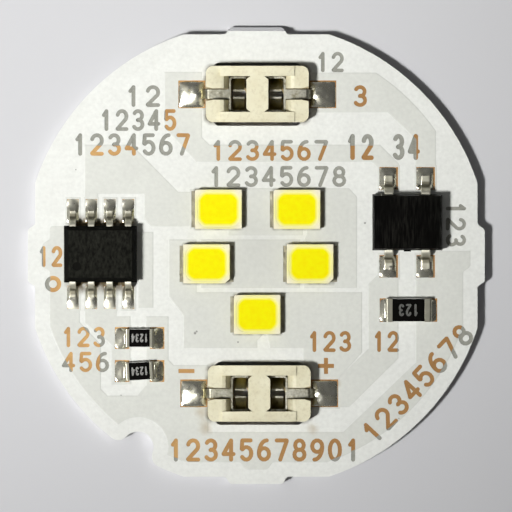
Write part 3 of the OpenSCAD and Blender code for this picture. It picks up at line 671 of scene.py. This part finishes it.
def foot_shade_share(tree, place, node, corner, reach, depth, inset=0.0):
    """How deep painted shade lies on the mask: deepest along the foot of a piece, none past its reach."""
    low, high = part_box(node)
    core = (high - low) / 2 - Vector((corner + inset, corner, 0))
    core.z = 1
    offset = reckon_vector("SUBTRACT", place, (low + high) / 2)
    beside = reckon_vector("ABSOLUTE", offset)
    past = reckon_vector("SUBTRACT", beside, core)
    outside = reckon_vector("MAXIMUM", past)
    distance = reckon_vector("LENGTH", outside, result="Value")
    ragged = spread(grain(tree, 1.6, 4.0), 0.35, 0.65, FOOT_SHADE_THIN * depth, depth)
    return spread(distance, corner, corner + reach, ragged, 0.0)


print("a spot fades over", round(SPOT_RIM[0] - SPOT_RIM[1], 1), "of its radius")

# %% Mask finish
MASK_WHITE = (0.82, 0.83, 0.78)
MASK_ON_COPPER = (0.70, 0.71, 0.652)
# Grey of the mask's grain, which its painted shades use as well
MASK_GRAIN_AND_SHADE = (0.42, 0.42, 0.385)
SPECK_COLOR = (0.10, 0.09, 0.075)
STAIN_COLOR = (0.36, 0.26, 0.12)
# Colour of the painted shade along the feet of the housings and the LEDs
FOOT_SHADE_COLOR = (0.13, 0.115, 0.075)
# Corner radius of the foot, how far the painted shade reaches, and its depth
HOUSING_SHADE = (0.4 * MM, 0.26 * MM, 0.92)
LED_SHADE = (0.06 * MM, 0.17 * MM, 0.85)
# The same for brown flux mixed with painted shade, then how far it stays within the body's two ends
FLUX_AND_SHADE_COLOR = (0.095, 0.068, 0.026)
DRIVER_FLUX_AND_SHADE = (0.1 * MM, 0.95 * MM, 1.6, 0.85 * MM)
# How strongly each tone of the mask shows
EDGE_SHADE_DEPTH = 0.3
FINE_DEPTH = 0.22
CLOUD_DEPTH = 0.10
# Depth of a broad painted shade over the middle of the board
MIDDLE_SHADE_DEPTH = 0.34
STAIN_DEPTH = 0.5
# How fine the ragged rims of the middle's painted shade, specks and stains are, per mm
MIDDLE_SHADE_RAGGED = 0.3
SPECK_RAGGED = 6.0
STAIN_RAGGED = 2.2
# Places and radii in mm
MIDDLE_SHADE = ((0.3, 0.8), 9.5)
STAINS = [((-3.75, -10.8), 0.7), ((-3.5, -11.8), 0.7), ((3.9, -11.9), 0.6), ((5.6, -8.8), 0.4)]
SPECKS = [((-4.21, -5.33), 0.13), ((-4.10, -5.22), 0.10), ((-1.26, -5.95), 0.09), ((7.47, 2.23), 0.10),
          ((-9.3, -9.6), 0.07), ((9.8, -11.2), 0.07), ((-12.4, 5.9), 0.06)]


def mask_finish():
    finish, tree, shader = new_finish("white_mask", MASK_WHITE, 0.5, gloss=0.3)
    place = object_place(tree)
    on_copper = height_share(tree, step_foot + LEVEL, board_face - LEVEL)
    color = blend(on_copper, MASK_WHITE, MASK_ON_COPPER)
    # Painted shade along each track's edge: the slope is darkened towards the grain's grey
    slope_shade = reckon("PINGPONG", on_copper, 0.5)
    color = blend(spread(slope_shade, 0, 0.5, 0, EDGE_SHADE_DEPTH), color, MASK_GRAIN_AND_SHADE)
    fine = spread(grain(tree, 3.6, 4.0), 0.28, 0.72, 0.0, FINE_DEPTH)
    color = blend(fine, color, MASK_GRAIN_AND_SHADE)
    cloud = spread(grain(tree, 0.6, 4.0), 0.35, 0.7, 0.0, CLOUD_DEPTH)
    color = blend(cloud, color, MASK_GRAIN_AND_SHADE)
    # Painted shade: a broad dark patch over the middle of the board, around the LEDs
    middle_shade = reckon("MULTIPLY", spot_share(tree, place, *MIDDLE_SHADE, MIDDLE_SHADE_RAGGED), MIDDLE_SHADE_DEPTH)
    color = blend(middle_shade, color, MASK_GRAIN_AND_SHADE)
    for middle, radius in SPECKS:
        color = blend(spot_share(tree, place, middle, radius, SPECK_RAGGED), color, SPECK_COLOR)
    for middle, radius in STAINS:
        stain = spot_share(tree, place, middle, radius, STAIN_RAGGED)
        color = blend(reckon("MULTIPLY", stain, STAIN_DEPTH), color, STAIN_COLOR)
    # Painted shade along the feet of the housings and the LEDs
    for name in HOUSINGS:
        color = blend(foot_shade_share(tree, place, name, *HOUSING_SHADE), color, FOOT_SHADE_COLOR)
    for name in LEDS:
        color = blend(foot_shade_share(tree, place, f"{name}_housing", *LED_SHADE), color, FOOT_SHADE_COLOR)
    # Brown flux mixed with painted shade between the driver's leads
    color = blend(foot_shade_share(tree, place, "driver_body", *DRIVER_FLUX_AND_SHADE), color, FLUX_AND_SHADE_COLOR)
    lay_color(shader, color)
    lay_bump(shader, grain(tree, 5.0, 4.0), 0.3, 0.012 * MM)
    return finish


mask = make_piece(mask_form, "white_mask", mask_finish(), ["solder_mask"])
print("faces of the mask with its openings:", cut_marks(mask))
mask.data.shade_flat()

# %% [markdown]
# ## Metal finishes
# Tin on leads, tin on spring contacts and solder are all grey metal, and differ in their skin. Leads are
# drawn and trimmed, so they carry fine lines. They are matt up to the bend, and a painted shade darkens
# them at the heel. Contacts are rolled bronze with a warm tone under the tin; down in the windows a dark
# olive painted shade takes over, and the two on the left are dirty. Solder froze from a liquid, so it is
# the brightest, with shallow ripples; the joints on the board's left half froze a little more matt. The
# thin rim of solder and lead frame that shows beside an LED is a darker, shaded copy of the tin: painted
# shade.

# %% Tin of contacts, caps and rims
CAP_COLOR = (0.55, 0.535, 0.435)
CAP_DULL = (0.40, 0.385, 0.30)
CONTACT_COLOR = (0.80, 0.78, 0.66)
CONTACT_DULL = (0.24, 0.22, 0.15)
CONTACT_GREY = (0.36, 0.35, 0.28)
CONTACT_DIRT = (0.13, 0.12, 0.085)
# Painted shade of the contacts down in the housing's windows
CONTACT_WINDOW_SHADE = (0.25, 0.212, 0.082)
# Heights above the board's face between which the painted shade in the windows gives way
WINDOW_SHADE_RANGE = (0.05 * MM, 0.5 * MM)
# A darker copy of the tin: painted shade for the lead frames and solder beside the LEDs
RIM_SHADED_COLOR = (0.43, 0.405, 0.305)
RIM_SHADED_DULL = (0.25, 0.23, 0.165)
METAL_RELIEF = 0.02 * MM


def metal_finish(name, bright, dull, rough, patch_per_mm, bump, window_shade=None):
    """Patchy metal; where a painted shade is given, it takes over down in the windows."""
    finish, tree, shader = new_finish(name, bright, rough[0], 1.0)
    patch = spread(grain(tree, patch_per_mm, 4.0), 0.3, 0.72)
    color = blend(patch, bright, dull)
    if window_shade:
        raised = height_share(tree, *[board_face + height for height in WINDOW_SHADE_RANGE])
        color = blend(raised, window_shade, color)
    lay_color(shader, color)
    lay_roughness(shader, spread(patch, 0.0, 1.0, *rough))
    lay_bump(shader, grain(tree, patch_per_mm * 2.5), bump, METAL_RELIEF)
    return finish


contact_tin = metal_finish("contact_tin", CONTACT_COLOR, CONTACT_DULL, (0.28, 0.44), 3.2, 0.6, CONTACT_WINDOW_SHADE)
dirty_tin = metal_finish("dirty_tin", CONTACT_GREY, CONTACT_DIRT, (0.34, 0.5), 3.2, 0.8, CONTACT_WINDOW_SHADE)
cap_tin = metal_finish("cap_tin", CAP_COLOR, CAP_DULL, (0.27, 0.32), 1.1, 0.05)
shaded_rim_tin = metal_finish("shaded_rim_tin", RIM_SHADED_COLOR, RIM_SHADED_DULL, (0.32, 0.40), 1.6, 0.03)
print("tin finishes:", contact_tin.name, dirty_tin.name, cap_tin.name, shaded_rim_tin.name)

# %% Tin of the leads
LEAD_COLOR = (0.68, 0.66, 0.54)
LEAD_DULL = (0.44, 0.42, 0.32)
GRIP_COLOR = (0.66, 0.64, 0.53)
# Painted shade at the heel, just past the bend
HEEL_SHADE = (0.25, 0.235, 0.17)
# Distances of the bend and of the heel's end from the body's middle line, and how softly the tones change
HEEL = (2.4 * MM, 2.8 * MM)
HEEL_BLUR = 0.06 * MM
DRAWN = (1, 0.35, 1)


def lead_finish(node):
    """Drawn tin, by distance from the body: matt to the bend, painted shade at the heel, bright along the
    foot.
    """
    finish, tree, shader = new_finish(f"{node}_tin", LEAD_COLOR, 0.35, 1.0)
    from_middle = reckon("SUBTRACT", along_axis(tree, "Y"), middle_of(node).y)
    distance = reckon("ABSOLUTE", from_middle)
    past_bend, past_heel = [spread(distance, end - HEEL_BLUR, end + HEEL_BLUR) for end in HEEL]
    lines = spread(grain(tree, 3.0, 4.0, DRAWN), 0.3, 0.72)
    foot = blend(lines, LEAD_COLOR, LEAD_DULL)
    # Painted shade from the bend to the heel's end
    color = blend(past_bend, GRIP_COLOR, HEEL_SHADE)
    lay_color(shader, blend(past_heel, color, foot))
    lay_roughness(shader, spread(past_bend, 0.0, 1.0, 0.52, 0.36))
    lay_bump(shader, grain(tree, 7.5, 3.0, DRAWN), 0.2, METAL_RELIEF)
    return finish


lead_tin = {name: lead_finish(name) for name in ("driver_leads", "rectifier_leads")}
print("lead finishes:", len(lead_tin))

# %% Solder finish
SOLDER_COLOR = (0.80, 0.785, 0.67)
SOLDER_DULL = (0.48, 0.46, 0.36)
# From where to where across the board the joints turn bright, and how much rougher the matt ones are
MATT_JOINTS = (-13 * MM, 2 * MM)
MATT_MORE = 0.10


def solder_finish():
    finish, tree, shader = new_finish("solder", SOLDER_COLOR, 0.3, 1.0)
    patch = spread(grain(tree, 2.2, 4.0), 0.3, 0.72)
    lay_color(shader, blend(patch, SOLDER_COLOR, SOLDER_DULL))
    matt = spread(along_axis(tree, "X"), *MATT_JOINTS, MATT_MORE, 0.0)
    lay_roughness(shader, reckon("ADD", spread(patch, 0.0, 1.0, 0.14, 0.34), matt))
    lay_bump(shader, grain(tree, 5.5), 0.3, METAL_RELIEF)
    return finish


solder = solder_finish()
print("solder finish:", solder.name)

# %% [markdown]
# ## Feet in the solder
# Where solder stands high depends on what stands in it, so the plan of each foot on its pad has to be known
# first. It could be written down pad by pad, but measuring is surer: a node of solder is parted into its
# pads, and a lead's points that lie low above a pad give the foot.

# %% Feet of the leads
WET_HEIGHT = 0.3 * MM
FOOT_SPARE = 0.06 * MM


def solids_in(node):
    """Boxes of the separate solids of a node, each as its lowest and highest corner."""
    form = merged_copy(node)
    left = dict.fromkeys(form.verts)
    boxes = []
    while left:
        found = [left.popitem()[0]]
        for vert in found:
            linked = [edge.other_vert(vert) for edge in vert.link_edges]
            found.extend(other for other in linked if other in left)
            for other in linked:
                left.pop(other, None)
        boxes.append((
            Vector([min(v.co[axis] for v in found) for axis in range(3)]),
            Vector([max(v.co[axis] for v in found) for axis in range(3)]),
        ))
    form.free()
    return boxes


def foot_on(pad, lead_nodes):
    """The plan of what stands on a pad, from the leads' points that lie low above it."""
    on_pad = inside(pad, FOOT_SPARE)
    points = [v.co for node in lead_nodes for v in nodes[node].data.vertices]
    found = [p for p in points if on_pad(p) and p.z < pad[0].z + WET_HEIGHT]
    low = [max(min(p[axis] for p in found), pad[0][axis]) for axis in range(2)]
    high = [min(max(p[axis] for p in found), pad[1][axis]) for axis in range(2)]
    return low, high


print("pads of the driver:", len(solids_in("driver_solder")))

# %% [markdown]
# ## Solder
# Liquid solder wets a pad and climbs the metal that stands in it, so its surface falls from the foot to the
# pad's rim: hollow at a lead and at a resistor's end, domed over a connector's tail. It could be sculpted
# by hand, but there are dozens of pads, so a rule does it. A grid is laid over each pad, with its corners
# drawn in a little, and each grid point is lifted by how near it is to the crest compared with the rim. A
# round of smoothing, as surface tension would do, takes the creases out. The grid's border is then drawn
# down to the pad and closed.

# %% One pool of solder
POOL_SKIN = 0.02 * MM
POOL_STEPS = 24
TENSION = 0.5
RIPPLE = 0.03 * MM
RIPPLE_PER_MM = 2.1


def pool_height(x, y, to_rim, crest, climb, profile):
    """Height over the pad: the climb at the crest, a thin skin at the rim."""
    beside_x = max(crest[0][0] - x, 0, x - crest[1][0])
    beside_y = max(crest[0][1] - y, 0, y - crest[1][1])
    to_crest = math.hypot(beside_x, beside_y)
    share = to_rim / (to_rim + to_crest + LEVEL)
    ripple = RIPPLE * noise.noise(Vector((x, y, 0)) * RIPPLE_PER_MM / MM)
    return POOL_SKIN + (climb - POOL_SKIN + ripple) * share ** profile


def add_pool(form, pad, crest, climb, profile, draw):
    grid = bmesh.ops.create_grid(form, x_segments=POOL_STEPS, y_segments=POOL_STEPS, size=1)
    verts = grid["verts"]
    middle = (pad[0] + pad[1]) / 2
    half = (pad[1] - pad[0]) / 2
    for vert in verts:
        u, v = vert.co.x, vert.co.y
        vert.co.x = middle.x + u * half.x * math.sqrt(1 - draw * v * v)
        vert.co.y = middle.y + v * half.y * math.sqrt(1 - draw * u * u)
        to_rim = min(half.x, half.y) * max(1 - u * u, 0) * max(1 - v * v, 0)
        vert.co.z = pad[0].z + pool_height(vert.co.x, vert.co.y, to_rim, crest, climb, profile)
    free = [vert for vert in verts if not vert.is_boundary]
    bmesh.ops.smooth_vert(form, verts=free, factor=TENSION, use_axis_z=True)
    edges = dict.fromkeys(edge for vert in verts for edge in vert.link_edges)
    border = [edge for edge in edges if edge.is_boundary]
    drawn = bmesh.ops.extrude_edge_only(form, edges=border)["geom"]
    for vert in only_points(drawn):
        vert.co.z = pad[0].z
    bottom = [item for item in drawn if isinstance(item, bmesh.types.BMEdge) and item.is_boundary]
    bmesh.ops.contextual_create(form, geom=bottom)


print("points of one pool:", (POOL_STEPS + 1) ** 2)

# %% Crest of a pool
RIDGE_SHARE = 0.15
END_SHARE = 0.7
END_HALF = 0.06 * MM


def whole(foot, middle):
    return foot


def ridge(foot, middle):
    """A small patch in the middle of a foot."""
    centre = [(foot[0][axis] + foot[1][axis]) / 2 for axis in range(2)]
    return [[m + (c - m) * RIDGE_SHARE for c, m in zip(corner, centre)] for corner in foot]


def outer_end(foot, middle):
    """A narrow strip at the end of a foot that lies farther from the part's middle."""
    end = max(foot[0][0], foot[1][0], key=lambda x: abs(x - middle.x))
    centre = (foot[0][1] + foot[1][1]) / 2
    half = (foot[1][1] - foot[0][1]) / 2 * END_SHARE
    return [[end - END_HALF, centre - half], [end + END_HALF, centre + half]]


print("crest at a resistor's end:", round(2 * END_HALF / MM, 2), "mm wide")

# %% Solder poured on the pads
# A pad that its foot covers by more than this share gets no fillet
FLAT_SHARE = 0.8
POOL_SHARP = 60
# Bend of the surface: above 1 it is hollow, below 1 domed
HOLLOW = 1.3
DOME = 0.7
# How high the solder climbs
DRIVER_CLIMB = 0.17 * MM
RECTIFIER_CLIMB = 0.26 * MM
TAIL_CLIMB = 0.28 * MM
LED_CLIMB = 0.03 * MM
# The same for resistors, as a share of a cap's height
CAP_CLIMB = {"bleed_resistor": 0.32, "sense_resistor_1": 0.7, "sense_resistor_2": 0.7}
# How far a pool's corners are drawn in
LEAD_DRAW = 0.1
TAIL_DRAW = 0.12
CAP_DRAW = 0.25
LED_DRAW = 0.0
# Widths of the pads' right and upper rims that stay bare
RECTIFIER_BARE = (0.09 * MM, 0.03 * MM)
TAIL_BARE = (0, 0.04 * MM)
CAP_BARE = (0.05 * MM, 0.05 * MM)
POLES = {"mains": ["live", "neutral"], "capacitor": ["minus", "plus"]}


def pour_solder(node, lead_nodes, climb, profile, draw, bare=(0, 0), crest_of=whole, skin=solder):
    """Solder on all pads of a node; it may leave the pads' right and upper rims bare."""
    form = bmesh.new()
    middle = middle_of(node)
    for pad in solids_in(node):
        foot = foot_on(pad, lead_nodes)
        size = pad[1] - pad[0]
        covered = (foot[1][0] - foot[0][0]) * (foot[1][1] - foot[0][1]) / (size.x * size.y)
        rise = POOL_SKIN if covered > FLAT_SHARE else climb
        wet = (pad[0], pad[1] - Vector((*bare, 0)))
        add_pool(form, wet, crest_of(foot, middle), rise, profile, draw)
    bmesh.ops.recalc_face_normals(form, faces=form.faces)
    make_piece(form, node + "_pool", skin, [node], sharp=POOL_SHARP)


pour_solder("driver_solder", ["driver_leads", "driver_heat_pad"], DRIVER_CLIMB, HOLLOW, LEAD_DRAW)
pour_solder("rectifier_solder", ["rectifier_leads"], RECTIFIER_CLIMB, HOLLOW, LEAD_DRAW, RECTIFIER_BARE)
for name, poles in POLES.items():
    contacts = [f"{pole}_contact" for pole in poles]
    pour_solder(f"{name}_solder", contacts, TAIL_CLIMB, DOME, TAIL_DRAW, TAIL_BARE, ridge)
for name in RESISTORS:
    climb = CAP_CLIMB[name] * (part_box(f"{name}_caps")[1].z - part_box(f"{name}_solder")[0].z)
    pour_solder(f"{name}_solder", [f"{name}_caps"], climb, HOLLOW, CAP_DRAW, CAP_BARE, outer_end)
for name in LEDS:
    pour_solder(f"{name}_solder", [f"{name}_frame"], LED_CLIMB, HOLLOW, LED_DRAW, skin=shaded_rim_tin)
print("solder poured on all pads")

# %% [markdown]
# ## Leads and contacts
# These are bent from strip. They could be bent again from a flat mesh, but their solids are right, so they
# only get the small rounding of a trimmed edge and their tin.

# %% Leads and contacts
LEAD_EDGES = {"driver_leads": 0.05 * MM, "rectifier_leads": 0.07 * MM}
CONTACT_SKINS = {"live": dirty_tin, "neutral": contact_tin, "minus": dirty_tin, "plus": contact_tin}
CONTACT_EDGE = 0.05 * MM

for name, edge in LEAD_EDGES.items():
    soften(name, lead_tin[name], edge, 3)
for pole, skin in CONTACT_SKINS.items():
    soften(f"{pole}_contact", skin, CONTACT_EDGE, 3)
for name in LEDS:
    dress(f"{name}_frame", shaded_rim_tin)
dress("driver_heat_pad", cap_tin)
print("leads and contacts trimmed")

# %% [markdown]
# ## Moulded bodies
# The driver is black epoxy. Its top is matt with a fine grain; its sides and the dimple beside its first
# lead are smooth, and painted blacker as shade. The rectifier's epoxy is blacker still, and its top was
# brushed, so pale streaks run along it. The connectors are cream nylon with a faint cloud and a fine brown
# speckle, and low down, where light hardly reaches, a painted brown shade darkens them. The solids have the
# true form, so a small bevel is all that their meshes need; the driver's dimple stays crisp, as its mould
# left it.

# %% Epoxy of the driver and the rectifier
DRIVER_BLACK = (0.0040, 0.0041, 0.0031)
DRIVER_GREY = (0.0210, 0.0214, 0.0166)
DRIVER_DIMPLE_SHADE = (0.0060, 0.0061, 0.0047)
DRIVER_SIDE_SHADE = (0.0030, 0.0030, 0.0023)
RECTIFIER_BLACK = (0.0010, 0.0009, 0.0006)
RECTIFIER_STREAK = (0.017, 0.0163, 0.0132)
# Size of the driver's top within its edges, and depths below it where the dimple's painted shade takes over
DRIVER_FLAT = Vector((4.1, 3.0, 0)) * MM
DIMPLE_RANGE = (0.04 * MM, 0.01 * MM)
# Upward part of a face's normal at which the sides end and at which the top begins
SIDE_RANGE = (0.9, 0.98)
EPOXY_EDGE = 0.05 * MM


def driver_finish():
    finish, tree, shader = new_finish("driver_epoxy", DRIVER_BLACK, 0.6, gloss=0.02)
    speckle = grain(tree, 6.0, 5.0, (1, 0.5, 1))
    matt = blend(spread(speckle, 0.3, 0.75), DRIVER_BLACK, DRIVER_GREY)
    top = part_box("driver_body")[1].z
    on_top = height_share(tree, *[top - depth for depth in DIMPLE_RANGE])
    # Painted shade on the dimple's floor
    matt = blend(on_top, DRIVER_DIMPLE_SHADE, matt)
    normal = add(tree, "NewGeometry", {}).outputs["Normal"]
    upward = add(tree, "SeparateXYZ", {"Vector": normal}).outputs["Z"]
    # Painted shade on the sides, by how far each face turns from upward
    lay_color(shader, blend(spread(upward, *SIDE_RANGE), DRIVER_SIDE_SHADE, matt))
    lay_bump(shader, speckle, 0.3, 0.02 * MM)
    return finish


def rectifier_finish():
    finish, tree, shader = new_finish("rectifier_epoxy", RECTIFIER_BLACK, 0.5, gloss=0.03)
    streak = grain(tree, 12.0, 5.0, stretch=(1, 0.09, 1))
    patch = spread(grain(tree, 0.5), 0.3, 0.6)
    brushed = reckon("MULTIPLY", spread(streak, 0.45, 0.8), patch)
    lay_color(shader, blend(brushed, RECTIFIER_BLACK, RECTIFIER_STREAK))
    lay_roughness(shader, spread(streak, 0.3, 0.8, 0.36, 0.6))
    lay_bump(shader, streak, 0.25, 0.015 * MM)
    return finish


driver_middle = middle_of("driver_body")
dimple = inside((driver_middle - DRIVER_FLAT / 2, driver_middle + DRIVER_FLAT / 2), 0)
soften("driver_body", driver_finish(), EPOXY_EDGE, special=dimple, flat=True)
soften("rectifier_body", rectifier_finish(), EPOXY_EDGE)
print("driver and rectifier moulded")

# %% Nylon of the connectors
CREAM = (0.72, 0.67, 0.465)
CREAM_PALE = (0.785, 0.75, 0.55)
# Brown of the speckle, also the colour of the painted shade low down
CREAM_SPECKLE_AND_SHADE = (0.36, 0.28, 0.14)
SPECKLE_DEPTH = 0.35
# Heights above the board's face between which a painted brown shade takes over the nylon
NYLON_SHADE_RANGE = (0.9 * MM, 0.2 * MM)
NYLON_EDGE = 0.07 * MM


def nylon_finish():
    finish, tree, shader = new_finish("cream_nylon", CREAM, 0.5, gloss=0.3)
    cloud = spread(grain(tree, 1.1, 5.0), 0.3, 0.7)
    color = blend(cloud, CREAM, CREAM_PALE)
    speckle = spread(grain(tree, 4.5, 5.0), 0.5, 0.85, 0.0, SPECKLE_DEPTH)
    color = blend(speckle, color, CREAM_SPECKLE_AND_SHADE)
    # Painted shade: the nylon turns brown low down
    shaded_low = height_share(tree, *[board_face + height for height in NYLON_SHADE_RANGE])
    lay_color(shader, blend(shaded_low, color, CREAM_SPECKLE_AND_SHADE))
    lay_bump(shader, grain(tree, 6.0, 4.0), 0.2, 0.012 * MM)
    return finish


nylon = nylon_finish()
for name in HOUSINGS:
    soften(name, nylon, NYLON_EDGE, 3)
print("housings moulded:", len(HOUSINGS))

# %% [markdown]
# ## Chip resistors
# A white ceramic bar, a black glass cover and two dipped end caps. Dipping leaves the caps round at their
# upper ends, so these edges get the full bevel and all others a share of it. The cover carries a plain code
# of three or four figures, as such resistors do. It is a thin pale film, printed with the strokes of the
# round pen.

# %% Ceramic and glaze
CERAMIC = (0.72, 0.71, 0.66)
COVER_BLACK = (0.0008, 0.0008, 0.0006)
COVER_BROWN = (0.003, 0.0024, 0.0018)
CERAMIC_CLOUD = 0.9


def ceramic_finish():
    finish, tree, shader = new_finish("white_ceramic", CERAMIC, 0.6)
    lay_color(shader, blend(grain(tree, 8.0), CERAMIC, darker(CERAMIC, CERAMIC_CLOUD)))
    return finish


def cover_finish():
    finish, tree, shader = new_finish("black_glaze", COVER_BLACK, 0.35, gloss=0.04)
    lay_color(shader, blend(grain(tree, 3.0, 4.0), COVER_BLACK, COVER_BROWN))
    lay_bump(shader, grain(tree, 5.0), 0.15, 0.01 * MM)
    return finish


ceramic = ceramic_finish()
glaze = cover_finish()
print("resistor finishes:", ceramic.name, glaze.name)

# %% Printed codes
CODE_FAINT = (0.115, 0.112, 0.10)
CODE_FRESH = (0.36, 0.355, 0.33)
CODE_WEAR = 0.4
CODE_THICK = 0.012 * MM
# Digits, length and height of the row in mm, turn, and tone of the print
CODES = {
    "bleed_resistor": ("123", 1.45, 0.85, 180, CODE_FAINT),
    "sense_resistor_1": ("1234", 1.2, 0.6, 180, CODE_FRESH),
    "sense_resistor_2": ("1234", 1.2, 0.6, 183.5, CODE_FRESH),
}


def code_finish(name, tone):
    finish, tree, shader = new_finish(f"{name}_print", tone, 0.6)
    worn = spread(grain(tree, 9.0, 4.0), 0.35, 0.7)
    lay_color(shader, blend(worn, tone, darker(tone, CODE_WEAR)))
    return finish


def print_code(name):
    digits, length, height, turn, tone = CODES[name]
    form = bmesh.new()
    place = middle_of(f"{name}_cover")
    place.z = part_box(f"{name}_cover")[1].z
    add_row(form, digits, place, length * MM, height * MM, turn, CODE_THICK)
    bmesh.ops.recalc_face_normals(form, faces=form.faces)
    make_piece(form, f"{name}_code", code_finish(name, tone), [])


print("codes:", [code[0] for code in CODES.values()])

# %% Resistors
COVER_EDGE = 0.02 * MM
CAP_ROUND = 0.13 * MM
CAP_TRIM = 0.12
# Share of the resistor's length past which a point belongs to a cap's outer end
CAP_END = 0.43


def at_end(node):
    """A test for points on the upper outer edges of two end caps."""
    low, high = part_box(node)

    def test(place):
        off_middle = abs(place.x - (low.x + high.x) / 2) / (high.x - low.x)
        return off_middle > CAP_END and place.z > high.z - LEVEL

    return test


for name in RESISTORS:
    dress(f"{name}_ceramic", ceramic)
    soften(f"{name}_cover", glaze, COVER_EDGE)
    caps = f"{name}_caps"
    soften(caps, cap_tin, CAP_ROUND, 4, at_end(caps), (1.0, CAP_TRIM))
    print_code(name)
print("resistors finished")

# %% [markdown]
# ## LED finishes
# The housing is white plastic with a cut corner at the cathode. Its thin walls glow pale yellow from the
# fill and stay white at the corners only. The cup is filled with yellow silicone that holds the phosphor.
# Along the cup's leaning wall the fill is thin and the white wall shines through, so the yellow fades to a
# pale rim. A distance from the middle could steer that fade, but it wouldn't follow the cup's round
# corners. So the finish reads a depth that the mesh stores at each point.

# %% LED finishes
LED_WHITE = (0.84, 0.79, 0.58)
LED_GLOW = (0.86, 0.815, 0.335)
FILL_YELLOW = (0.89, 0.825, 0.0)
FILL_ORANGE = (0.885, 0.765, 0.0)
FILL_PALE = (0.875, 0.835, 0.315)
FILL_FADE = 0.19 * MM
# Depths between which the wall's white gives way to the pale rim
RIM_RANGE = (-0.18 * MM, 0.04 * MM)
# Distances from a corner between which the walls begin to glow
GLOW_RANGE = (0.2 * MM, 0.9 * MM)


def led_plastic_finish(name):
    low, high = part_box(f"{name}_housing")
    middle, half = (low + high) / 2, (high - low) / 2
    finish, tree, shader = new_finish(f"{name}_plastic", LED_WHITE, 0.45, gloss=0.25)
    moved = {"Vector": object_place(tree), "Location": (-middle.x, -middle.y, 0), "Scale": (1, 1, 0)}
    place = add(tree, "Mapping", moved).outputs["Vector"]
    quarter = reckon_vector("ABSOLUTE", place)
    from_corner = reckon_vector("DISTANCE", quarter, (half.x, half.y, 0), "Value")
    glow = spread(from_corner, *GLOW_RANGE)
    lay_color(shader, blend(glow, LED_WHITE, LED_GLOW))
    lay_bump(shader, grain(tree, 8.0), 0.12, 0.008 * MM)
    return finish


def fill_finish():
    finish, tree, shader = new_finish("phosphor_fill", FILL_YELLOW, 0.55, gloss=0.05)
    depth = add(tree, "Attribute", {}, attribute_name="depth").outputs["Fac"]
    mottled = spread(grain(tree, 2.6, 5.0), 0.38, 0.7)
    yellow = blend(mottled, FILL_YELLOW, FILL_ORANGE)
    rim = blend(spread(depth, *RIM_RANGE), LED_WHITE, FILL_PALE)
    lay_color(shader, blend(spread(depth, 0, FILL_FADE), rim, yellow))
    lay_bump(shader, grain(tree, 9.0), 0.12, 0.008 * MM)
    return finish


phosphor = fill_finish()
print("fill:", phosphor.name)

# %% [markdown]
# ## LEDs
# The fill starts as one flat face. Its corners are rounded, it is extruded down to the cup's narrower
# floor, and its top is inset ring by ring. Each point then stores how far inside the rim it lies, and sinks
# a little by it, because silicone shrinks as it cures. The housing only needs a bevel outside its cup,
# where the mould was round.

# %% LEDs
LED_EDGE = 0.045 * MM
CUP_SPARE = 0.05 * MM
FILL_RINGS = 12
FILL_CORNER = 0.60 * MM
FILL_CORNER_STEPS = 9
FILL_ROUND = 0.80 * MM
FILL_HOLLOW = 0.015 * MM
CUP_LEAN = (0.855, 0.825)


def fill_depth(x, y, half):
    """How far inside the fill's rim a place lies; lines of one depth round the corners in wide arcs."""
    past_x = max(abs(x) - half.x + FILL_ROUND, 0)
    past_y = max(abs(y) - half.y + FILL_ROUND, 0)
    return FILL_ROUND - math.hypot(past_x, past_y)


def fill_cup(name):
    low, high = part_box(f"{name}_phosphor")
    middle = (low + high) / 2
    half = (high - low) / 2
    form = bmesh.new()
    depth = form.verts.layers.float.new("depth")
    made = bmesh.ops.create_grid(form, x_segments=1, y_segments=1, size=1)
    place = Matrix.Translation((middle.x, middle.y, high.z))
    bmesh.ops.transform(form, matrix=place @ Matrix.Diagonal((half.x, half.y, 1, 1)), verts=made["verts"])
    bmesh.ops.bevel(
        form, geom=form.verts[:], offset=FILL_CORNER, affect="VERTICES",
        segments=FILL_CORNER_STEPS, profile=0.5, material=-1,
    )
    top = form.faces[:][0]
    base_verts = only_points(bmesh.ops.extrude_face_region(form, geom=[top])["geom"])
    bmesh.ops.translate(form, vec=(0, 0, low.z - high.z), verts=base_verts)
    lean = Matrix.Diagonal((*CUP_LEAN, 1, 1))
    bmesh.ops.transform(form, matrix=lean, space=Matrix.Translation(-middle), verts=base_verts)
    ring = 2 * FILL_FADE / FILL_RINGS
    for _ in range(FILL_RINGS):
        bmesh.ops.inset_region(form, faces=[top], thickness=ring, use_even_offset=True)
    bmesh.ops.poke(form, faces=[top])
    for vert in form.verts:
        vert[depth] = fill_depth(vert.co.x - middle.x, vert.co.y - middle.y, half)
        if vert not in base_verts:
            vert.co.z = high.z - FILL_HOLLOW * min(max(vert[depth] / FILL_FADE, 0), 1)
    bmesh.ops.recalc_face_normals(form, faces=form.faces)
    make_piece(form, f"{name}_fill", phosphor, [f"{name}_phosphor"])


for name in LEDS:
    cup = inside(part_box(f"{name}_phosphor"), CUP_SPARE)
    soften(f"{name}_housing", led_plastic_finish(name), LED_EDGE, special=cup)
    fill_cup(name)
    dress(f"{name}_chip", ceramic)
print("LEDs finished")
